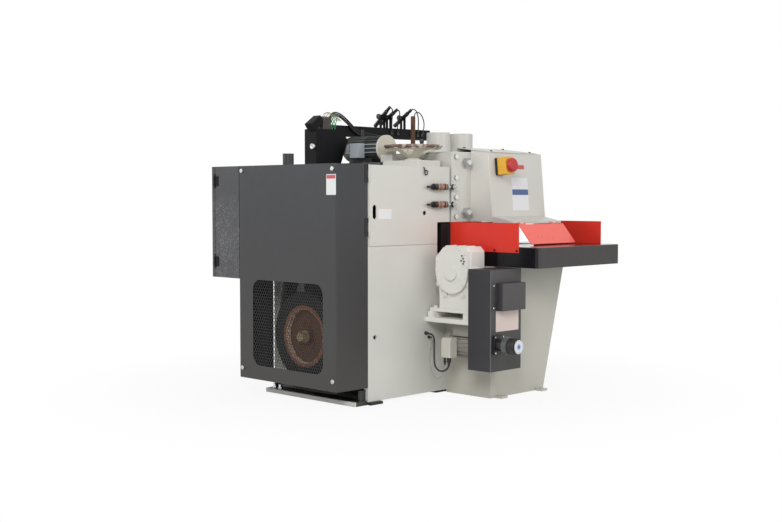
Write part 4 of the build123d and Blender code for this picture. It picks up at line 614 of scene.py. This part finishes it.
NODE_MATERIALS = {
    "light_paint": ["access_door", "hood_top_plate", "dust_ports", "canopy_shelf", "flap_hinges"],
    "hood_paint": ["saw_hood"],
    "keeper_paint": ["door_keepers"],
    "pedestal_paint": ["pedestal"],
    "reducer_paint": ["gear_reducer", "reducer_shelf"],
    "body_paint": ["body_cabinet"],
    "rail_paint": ["base_rail"],
    "casting_paint": ["upper_casting", "lift_gearbox"],
    "fastener_paint": ["casting_bolts"],
    "charcoal_paint": ["pulley_cover"],
    "case_paint": ["variator_case", "end_cover"],
    "cabinet_paint": ["electrical_cabinet", "cabinet_door"],
    "black_paint": ["laser_stand", "cover_mesh", "main_motor"],
    "table_paint": ["feed_bed", "outfeed_table"],
    "red_paint": ["guard_walls"],
    "flap_paint": ["red_flap"],
    "terminal_paint": ["terminal_box"],
    "lift_motor_paint": ["lift_motor"],
    "feed_motor_paint": ["feed_motor"],
    "wheel_paint": ["lift_handwheel"],
    "barrel_lacquer": ["bolt_barrels"],
    "yellow_plastic": ["estop_box"],
    "red_plastic": ["estop_button"],
    "black_plastic": ["speed_knob", "near_laser", "middle_laser", "far_laser"],
    "flange_plastic": ["knob_flange"],
    "rubber": ["rubber_feet", "drive_belts"],
    "cable_black": ["feed_motor_lead"],
    "cable_grey": ["sensor_lead"],
    "bolt_steel": ["upper_spring_bolt", "lower_spring_bolt"],
    "steel": ["saw_blades", "saw_arbor", "drive_sprocket", "front_pressure_roller", "rear_pressure_roller",
              "kickback_fingers"],
    "brown_steel": ["lift_screw"],
    "zinc": ["cover_bolts"],
    "black_steel": ["panel_screws"],
    "hinge_paint": ["door_hinges"],
    "grey_iron": ["feed_chain", "pressure_frame", "arbor_housing", "arbor_pulley"],
    "rusty_iron": ["motor_pulley"],
}
for material_name, node_names in NODE_MATERIALS.items():
    for node_name in node_names:
        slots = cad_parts[node_name].data.materials
        slots.clear()
        slots.append(MATERIALS[material_name])

# Edges sharper than this stay sharp on a smooth piece
SHARP_ANGLE = math.radians(40)


def add_piece(name, bm, body, material, smooth=False):
    """A finished mesh as a named piece on a body, flat or smooth between its sharp edges."""
    mesh = bpy.data.meshes.new(name)
    bmesh.ops.recalc_face_normals(bm, faces=bm.faces)
    bm.to_mesh(mesh)
    bm.free()
    mesh.materials.append(MATERIALS[material])
    if smooth:
        mesh.shade_smooth()
        mesh.set_sharp_from_angle(angle=SHARP_ANGLE)
    piece = bpy.data.objects.new(name, mesh)
    scene.collection.objects.link(piece)
    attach(piece, body)
    return piece


def stack(bm, rings):
    """A closed skin over a row of rings of places."""
    loops = [[bm.verts.new(place) for place in ring] for ring in rings]
    count = len(loops[0])
    for low, high in zip(loops, loops[1:]):
        for step in range(count):
            after = (step + 1) % count
            bm.faces.new((low[step], low[after], high[after], high[step]))
    bm.faces.new(list(reversed(loops[0])))
    bm.faces.new(loops[-1])


def turned(bm, origin, axis, profile, sides):
    """A turned form about an axis through a place, from (distance along it, radius) in millimetres."""
    axis = Vector(axis).normalized()
    side = axis.orthogonal().normalized()
    other = axis.cross(side)
    rings = []
    for along, radius in profile:
        ring = []
        for step in range(sides):
            angle = 2 * math.pi * step / sides
            spoke = side * math.cos(angle) + other * math.sin(angle)
            ring.append(origin + axis * along * MM + spoke * radius * MM)
        rings.append(ring)
    stack(bm, rings)


def rounded(width, height, corner, inset):
    """The outline of a plate with round corners, pulled in by an inset."""
    points = []
    radius = max(corner - inset, 0.2)
    for sx, sy, start in ((1, 1, 0), (-1, 1, 90), (-1, -1, 180), (1, -1, 270)):
        for step in range(5):
            angle = math.radians(start + 22.5 * step)
            points.append((
                sx * (width / 2 - inset - radius) + radius * math.cos(angle),
                sy * (height / 2 - inset - radius) + radius * math.sin(angle),
            ))
    return points


def plate(bm, centre, across, up, width, height, thick, corner=3.0, edge=0.4):
    """A plate with round corners and an eased front edge, its back on a surface."""
    out = across.cross(up)
    rings = []
    for depth, inset in ((0.0, 0.0), (thick - edge, 0.0), (thick, edge)):
        base = centre + out * depth * MM
        outline = rounded(width, height, corner, inset)
        rings.append([base + (across * a + up * b) * MM for a, b in outline])
    stack(bm, rings)


def hex_head(bm, origin, axis, radius, height):
    """A hexagon head with an eased top and a washer under it."""
    turned(bm, origin, axis, [(0, radius * 1.35), (height * 0.18, radius * 1.35)], 24)
    turned(bm, origin, axis, [(0, radius), (height * 0.85, radius), (height, radius * 0.86)], 6)


def screw_head(bm, origin, axis, radius, height):
    """A round head with a hexagon socket."""
    turned(
        bm, origin, axis,
        [(0, radius), (height * 0.7, radius), (height, radius * 0.78), (height, radius * 0.45),
         (height * 0.35, radius * 0.40)], 18,
    )


def cable(name, route, diameter, material):
    """A cable as one smooth open spline along its route."""
    curve = bpy.data.curves.new(name, "CURVE")
    curve.dimensions = "3D"
    curve.bevel_depth = diameter / 2 * MM
    curve.bevel_resolution = 4
    curve.resolution_u = 10
    curve.use_fill_caps = True
    spline = curve.splines.new("NURBS")
    spline.points.add(len(route) - 1)
    for point, place in zip(spline.points, route):
        point.co = (*at(*place), 1.0)
    spline.order_u = 3
    spline.use_endpoint_u = True
    curve.materials.append(MATERIALS[material])
    piece = bpy.data.objects.new(name, curve)
    scene.collection.objects.link(piece)
    return piece


# Leads from the feed motor's terminal box into the body's front panel
motor_lead = cable(
    "motor_lead",
    [(166, 428, 198), (166, 428, 170), (150, 416, 148), (126, 398, 145), (106, 386, 168), (100, 386, 206),
     (93, 394, 250), (82, 407, 288), (68, 420, 314), (48, 428, 330), (24, 426, 334), (0, 426, 334)],
    9.0, "cable_black",
)
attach(motor_lead, "frame")
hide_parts("feed_motor_lead")
thin_lead = cable(
    "thin_lead",
    [(140, 425, 198), (140, 425, 160), (126, 415, 116), (98, 406, 98), (74, 401, 122), (56, 400, 172),
     (46, 408, 226), (40, 428, 274), (28, 450, 310), (0, 450, 310)],
    5.0, "cable_grey",
)
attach(thin_lead, "frame")
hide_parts("sensor_lead")

# Strain reliefs: a nut and a tapered sleeve where each lead leaves a housing
bm = bmesh.new()
for place, out, bore in (
    (at(166, 428, 198), -Z, 4.5), (at(0, 426, 334), X, 4.5),
    (at(140, 425, 198), -Z, 2.5), (at(0, 450, 310), X, 2.5),
):
    turned(bm, place, out, [(0, bore + 6), (5, bore + 6), (6, bore + 5)], 6)
    turned(
        bm, place, out,
        [(0, bore + 3.6), (8, bore + 3.4), (9, bore + 2.4), (11, bore + 2.4), (12, bore + 3.0),
         (14, bore + 2.8), (15, bore + 1.9), (17, bore + 1.8), (18, bore + 2.4), (20, bore + 2.2),
         (22, bore + 0.5)], 24,
    )
add_piece("strain_reliefs", bm, "frame", "black_plastic", True)

# Expanded-metal screen in the cover's window, over the pulley: a honeycomb of flat strands
SCREEN_LEFT, SCREEN_RIGHT, SCREEN_LOW, SCREEN_HIGH = -672.0, -80.0, 145.0, 639.0
SCREEN_Y = -212
SCREEN_COLUMNS, SCREEN_ROWS = 34, 32
STRAND_THICKNESS = 3.6
bm = bmesh.new()
half_cell = (SCREEN_RIGHT - SCREEN_LEFT) / (2 * SCREEN_COLUMNS)
third_cell = (SCREEN_HIGH - SCREEN_LOW) / (3 * SCREEN_ROWS + 1)
knots = {}
for row in range(SCREEN_ROWS):
    for column in range(SCREEN_COLUMNS - row % 2):
        corners = []
        for step_x, step_z in ((0, 2), (-1, 1), (-1, -1), (0, -2), (1, -1), (1, 1)):
            key = 2 * column + 1 + row % 2 + step_x, 3 * row + 2 + step_z
            if key not in knots:
                place = at(SCREEN_LEFT + key[0] * half_cell, SCREEN_Y, SCREEN_LOW + key[1] * third_cell)
                knots[key] = bm.verts.new(place)
            corners.append(knots[key])
        bm.faces.new(corners)
screen = add_piece("window_screen", bm, "frame", "screen_paint")
strands = screen.modifiers.new("strands", "WIREFRAME")
strands.thickness = STRAND_THICKNESS * MM
strands.use_even_offset = False
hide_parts("cover_mesh")

# Return flange along the back edge of the pulley cover
bm = bmesh.new()
plate(bm, at(-753, 0, 655), X, Z, 22, 1126, 2.0, 1.5, 0.4)
add_piece("cover_return", bm, "frame", "charcoal_paint")


def on_hood(y, z, out=0.0):
    """A place on the hood's leaning face, or out from it."""
    foot = HOOD_FOOT + Y * y * MM
    return foot + HOOD_UP * (z - HOOD_FOOT_HEIGHT) / HOOD_UP.z * MM + HOOD_OUT * out * MM


# Blank plates in the places of the labels: name, body, material, place, two directions, and the plate's sizes
BLANK_PLATES = (
    ("cover_plate", "frame", "label_white", at(-37, -216, 1116), X, Z, (70, 102, 0.8)),
    ("cover_plate_band", "frame", "label_red", at(-37, -216.8, 1154), X, Z, (64, 18, 0.3, 1.0, 0.1)),
    ("door_plate", "access_door", "label_pink", at(0, 122, 968), Y, Z, (98, 58, 0.8)),
    ("door_plate_field", "access_door", "label_white", at(0.8, 122, 968), Y, Z, (92, 52, 0.4, 2.0, 0.2)),
    ("case_plate", "frame", "label_pink", at(460, 544, 426), Y, Z, (182, 106, 0.8)),
    ("hood_plate", "frame", "label_white", on_hood(1044, 1072), Y, HOOD_UP, (142, 182, 0.8)),
    ("hood_plate_band", "frame", "label_blue", on_hood(1044, 1082, 0.8), Y, HOOD_UP,
     (140, 31, 0.4, 1.0, 0.2)),
    ("stop_plate", "frame", "label_red", on_hood(1056, 1221), Y, HOOD_UP, (74, 24, 0.8)),
)
for name, body, material, place, across, up, sizes in BLANK_PLATES:
    bm = bmesh.new()
    plate(bm, place, across, up, *sizes)
    add_piece(name, bm, body, material)

# Wire hook near the door's top edge
hook = cable(
    "door_hook",
    [(-4, 409, 1211), (9, 409, 1211), (9, 409, 1190), (9, 411, 1174), (9, 424, 1171), (9, 434, 1182),
     (9, 428, 1196), (9, 414, 1194)],
    6.0, "black_plastic",
)
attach(hook, "access_door")


def knob_spoke(step, count):
    """One of a number of even directions round the knob's axis."""
    angle = 2 * math.pi * step / count
    return Y * math.cos(angle) + Z * math.sin(angle)


# Dial on the speed knob, with plain graduations
DIAL_MARKS = 20
bm = bmesh.new()
turned(bm, at(598, KNOB_Y, KNOB_Z), X, [(0, 35), (0.5, 35), (0.8, 34.6)], 48)
add_piece("knob_dial", bm, "speed_knob", "dial_plastic")
bm = bmesh.new()
for mark in range(DIAL_MARKS):
    spoke = knob_spoke(mark, DIAL_MARKS)
    length = 9.0 if mark % 5 == 0 else 5.0
    place = at(598.8, KNOB_Y, KNOB_Z) + spoke * (33 - length / 2) * MM
    plate(bm, place, spoke.cross(X), spoke, 1.4, length, 0.15, 0.3, 0.1)
add_piece("knob_marks", bm, "speed_knob", "cable_black")

# Grip ribs round the knob's drum
GRIP_RIBS = 36
bm = bmesh.new()
for rib in range(GRIP_RIBS):
    spoke = knob_spoke(rib, GRIP_RIBS)
    plate(bm, at(571, KNOB_Y, KNOB_Z) + spoke * 40.6 * MM, X.cross(spoke), X, 3.4, 40, 1.4, 1.2, 0.5)
add_piece("knob_ribs", bm, "speed_knob", "black_plastic")

# Screws of the variator case and of the knob's flange
bm = bmesh.new()
for y, z in ((434, 608), (434, 495)):
    screw_head(bm, at(462, y, z), X, 6, 5)
for y, z in ((436, 268), (436, 348), (496, 268), (496, 348)):
    screw_head(bm, at(473, y, z), X, 5, 4)
add_piece("case_screws", bm, "frame", "chrome", True)

# Rings round the spring bolts' barrels, and a knob on each bolt
BOLT_HEIGHTS = {"upper_bolt": 1109, "lower_bolt": 1015}
bm = bmesh.new()
for z in BOLT_HEIGHTS.values():
    for start in (490, 520, 550):
        turned(bm, at(20, start, z), Y, [(0, 17), (1, 18.4), (5, 18.4), (6, 17)], 36)
add_piece("barrel_rings", bm, "access_door", "ring_plastic", True)
for bolt_body, z in BOLT_HEIGHTS.items():
    bm = bmesh.new()
    turned(
        bm, at(20, 597, z), Y,
        [(0, 5), (1, 7.5), (4, 9.5), (9, 10.5), (14, 9.5), (17, 7.5), (18, 5)], 32,
    )
    add_piece(bolt_body + "_knob", bm, bolt_body, "black_plastic", True)

# Gear reducer: bolts of the end plate, plugs, lug bolts and the bolts of its feet
REDUCER_X, REDUCER_Z = 173, 662
PLATE_BOLTS = (
    (-96, -20), (-74, -64), (74, -64), (96, -20), (-96, 60), (-40, 116), (60, 120), (98, 100), (98, 40),
)
LUG_BOLTS = (-104, -62), (104, -62), (-62, -118), (62, -118)
bm = bmesh.new()
for x, z in PLATE_BOLTS:
    hex_head(bm, at(REDUCER_X + x, 436, REDUCER_Z + z), -Y, 5.5, 5)
for x, z in LUG_BOLTS:
    hex_head(bm, at(REDUCER_X + x, 452, REDUCER_Z + z), -Y, 7.5, 7)
for x in (34, 276):
    hex_head(bm, at(x, 470, 470), Z, 11, 10)
add_piece("reducer_bolts", bm, "frame", "reducer_paint")
bm = bmesh.new()
for x, z in ((247, 752), (255, 738), (242, 726), (262, 723), (256, 711)):
    screw_head(bm, at(x, 436, z), -Y, 4.5, 4)
add_piece("reducer_plugs", bm, "frame", "black_steel", True)

# Terminal blocks on the laser stand
TERMINAL_BLOCKS = 8
TERMINAL_PITCH, TERMINAL_THICKNESS = 7.8, 7.4
bm = bmesh.new()
for block in range(TERMINAL_BLOCKS):
    y = 279 + TERMINAL_PITCH * block + TERMINAL_THICKNESS
    plate(bm, at(-662, y, 1463), X, Z, 40, 62, TERMINAL_THICKNESS, 1.5, 0.6)
    plate(bm, at(-662, y, 1498), X, Z, 24, 10, TERMINAL_THICKNESS, 1.5, 0.6)
add_piece("terminal_strip", bm, "frame", "relay_brown")


def loose_cable(name, route, diameter, material):
    """A limp cable on the frame between two places."""
    piece = cable(name, route, diameter, material)
    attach(piece, "frame")


# Cables from the terminal blocks along the beam
TRUNK = [(-662, 336, 1478), (-660, 344, 1504), (-655, 370, 1523), (-651, 412, 1516), (-650, 456, 1491),
         (-650, 498, 1460), (-651, 532, 1434), (-653, 562, 1421), (-653, 600, 1416), (-653, 660, 1408),
         (-653, 735, 1402)]
for number, (y_shift, z_shift, x_shift) in enumerate(((0, 0, 0), (4, 9, 0), (-3, -9, 2))):
    route = [(x + x_shift, y + y_shift, z + z_shift) for x, y, z in TRUNK]
    loose_cable(f"beam_cable_{number}", route, 8.0, "cable_black")

# Wires over the terminal blocks: place along the beam, height or swing, and length
WHITE_WIRES = (282, 24, 0.146), (294, 28, 0.152), (306, 20, 0.140), (318, 12, 0.129)
GREEN_WIRES = (340, 10, 0.102), (349, -8, 0.099), (358, 12, 0.106), (367, -10, 0.102), (376, 8, 0.099)
for number, (y, peak, length) in enumerate(WHITE_WIRES):
    loose_cable(
        f"white_wire_{number}",
        [(-650, y, 1484), (-646, y + 1, 1488 + peak), (-645, y + 18, 1500 + peak),
         (-646, y + 48, 1496 + peak), (-648, y + 84, 1490 + peak / 2), (-649, y + 106, 1482)],
        3.6, "cable_white",
    )
for number, (y, swing, length) in enumerate(GREEN_WIRES):
    loose_cable(
        f"green_wire_{number}",
        [(-650, y, 1514), (-646, y + swing, 1500), (-643, y + swing, 1480), (-643, y - swing, 1460),
         (-646, y - swing, 1442), (-652, y, 1424)], 4.5, "cable_green",
    )

# Leads from the lasers' tails down to clips on the beam
LASER_LEADS = (
    ("near_laser", 41, "lead_green", (
        (-624, 795, 1577), (-620, 806, 1568), (-630, 818, 1545), (-645, 826, 1500), (-652, 834, 1460),
        (-654, 834, 1424))),
    ("middle_laser", 30, "cable_black", (
        (-615, 848, 1566), (-611, 858, 1556), (-622, 868, 1530), (-644, 876, 1490), (-653, 882, 1455),
        (-654, 886, 1424))),
    ("far_laser", 33, "lead_green", (
        (-617, 966, 1575), (-610, 980, 1576), (-618, 1010, 1566), (-636, 1044, 1530), (-648, 1058, 1480),
        (-654, 1056, 1420))),
)
LEAD_DIAMETER = 6.5
LASER_PLACES = {"near_laser": 793, "middle_laser": 845, "far_laser": 965}
PIVOT_X, PIVOT_Z = -690, 1527
TAIL_REACH = 80
for body, slope, colour, down in LASER_LEADS:
    run, rise = math.cos(math.radians(slope)), math.sin(math.radians(slope))
    tail = (PIVOT_X + TAIL_REACH * run, LASER_PLACES[body], PIVOT_Z + TAIL_REACH * rise)
    curve_piece = cable(body + "_lead_line", [tail, *down], LEAD_DIAMETER, colour)
    tube = bpy.data.meshes.new_from_object(curve_piece.evaluated_get(bpy.context.evaluated_depsgraph_get()))
    curve_piece.data.bevel_depth = 0.0
    line = bpy.data.meshes.new_from_object(curve_piece.evaluated_get(bpy.context.evaluated_depsgraph_get()))
    path = [tuple(vert.co) for vert in line.vertices]
    bpy.data.objects.remove(curve_piece)
    lead = bpy.data.objects.new(body + "_lead", tube)
    scene.collection.objects.link(lead)
    length = sum((Vector(b) - Vector(a)).length for a, b in zip(path, path[1:]))
    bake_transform(lead)
loose_cable(
    "spare_loop",
    [(-654, 1012, 1424), (-654, 1012, 1470), (-651, 1016, 1530), (-650, 1040, 1570), (-650, 1082, 1556),
     (-650, 1110, 1510), (-651, 1108, 1464), (-654, 1094, 1424)], LEAD_DIAMETER, "lead_green",
)

# Clips that hold the cables on the beam's face
bm = bmesh.new()
for y, z, width, height, thick in (
    (590, 1420, 26, 40, 14), (834, 1428, 20, 14, 10), (886, 1428, 20, 14, 10), (1056, 1424, 20, 14, 10),
    (1012, 1428, 20, 14, 10), (1094, 1428, 20, 14, 10),
):
    plate(bm, at(-660, y, z), Y, Z, width, height, thick, 3.0, 1.5)
add_piece("cable_clips", bm, "frame", "black_plastic", True)

# Caps of the lasers' clamp screws
bm = bmesh.new()
for y, thick in ((767, 12), (819, 7), (939, 12)):
    turned(bm, at(PIVOT_X, y, PIVOT_Z), -Y, [(0, 14), (1, 16), (thick - 2, 16), (thick, 13)], 32)
add_piece("laser_clamp_caps", bm, "frame", "black_plastic", True)

# Levelling bolts at the end of the base rail
bm = bmesh.new()
for x in (-664, -617):
    turned(bm, at(x, -60, 23), Z, [(0, 8), (22, 8), (24, 6.5)], 24)
    turned(bm, at(x, -60, 23), Z, [(0, 14), (9, 14), (10, 12)], 6)
add_piece("rail_bolts", bm, "frame", "chrome")

# Clamp screw on the laser stand's side
bm = bmesh.new()
turned(
    bm, at(-656, 225, 1335), -Y,
    [(0, 9), (4, 9), (5, 15), (7, 16.5), (16, 16.5), (18, 15), (18.5, 9), (17, 6)], 40,
)
add_piece("stand_knob", bm, "frame", "zinc", True)

# Studio, in metres: a pale floor that fades to white around the object, a white surround and soft lamps
FLOOR_HALF = 40.0
FLOOR_FADE = 0.9, 2.0
FLOOR_GLOW = 0.90
SURROUND_LIGHT = 0.38
AIM = (0, 0, 0.7)
floor_corners = [(sx * FLOOR_HALF, sy * FLOOR_HALF, 0) for sx, sy in ((-1, -1), (1, -1), (1, 1), (-1, 1))]
floor_mesh = bpy.data.meshes.new("floor")
floor_mesh.from_pydata(floor_corners, [], [(0, 1, 2, 3)])
floor = bpy.data.objects.new("floor", floor_mesh)
scene.collection.objects.link(floor)


def seen_directly(nodes, links):
    """One for camera, glossy and transmission rays, and nought for the rays that light the object."""
    path = nodes.new("ShaderNodeLightPath")
    total = path.outputs["Is Camera Ray"]
    for name in ("Is Glossy Ray", "Is Transmission Ray"):
        most = nodes.new("ShaderNodeMath")
        most.operation = "MAXIMUM"
        links.new(total, most.inputs[0])
        links.new(path.outputs[name], most.inputs[1])
        total = most.outputs[0]
    return total


def pale_stage():
    """A floor that looks white and keeps the object's shadow near it."""
    material, shader, nodes, links = new_material("pale_stage")
    shader.inputs["Base Color"].default_value = (0.80, 0.80, 0.80, 1)
    shader.inputs["Roughness"].default_value = 0.9
    glow = nodes.new("ShaderNodeEmission")
    glow.inputs["Color"].default_value = (1, 1, 1, 1)
    coords = nodes.new("ShaderNodeTexCoord")
    reach = vector_math(nodes, links, "LENGTH", coords.outputs["Object"], (0, 0, 0), "Value")
    white = nodes.new("ShaderNodeMath")
    white.operation = "MULTIPLY"
    links.new(span(nodes, links, reach, *FLOOR_FADE, FLOOR_GLOW, 1.0), white.inputs[0])
    links.new(seen_directly(nodes, links), white.inputs[1])
    mixed = nodes.new("ShaderNodeMixShader")
    links.new(white.outputs[0], mixed.inputs["Fac"])
    links.new(shader.outputs["BSDF"], mixed.inputs[1])
    links.new(glow.outputs["Emission"], mixed.inputs[2])
    output = next(node for node in nodes if node.type == "OUTPUT_MATERIAL")
    links.new(mixed.outputs["Shader"], output.inputs["Surface"])
    return material


floor_mesh.materials.append(pale_stage())

world = bpy.data.worlds.new("studio")
scene.world = world
world.use_nodes = True
nodes, links = world.node_tree.nodes, world.node_tree.links
background = nodes["Background"]
background.inputs["Color"].default_value = (1, 1, 1, 1)
strength = span(nodes, links, seen_directly(nodes, links), 0.0, 1.0, SURROUND_LIGHT, 1.0)
links.new(strength, background.inputs["Strength"])


def area_lamp(name, place, size, watts):
    """A soft square lamp aimed at the object."""
    data = bpy.data.lights.new(name, "AREA")
    data.energy = watts
    data.size = size
    lamp = bpy.data.objects.new(name, data)
    lamp.location = place
    lamp.rotation_euler = (Vector(AIM) - Vector(place)).to_track_quat("-Z", "Y").to_euler()
    scene.collection.objects.link(lamp)


area_lamp("key", (4.5, -5.5, 4.2), 2.5, 260)
area_lamp("fill", (6.0, 1.5, 3.0), 3.0, 90)
area_lamp("side", (-3.5, -5.0, 3.0), 3.0, 70)
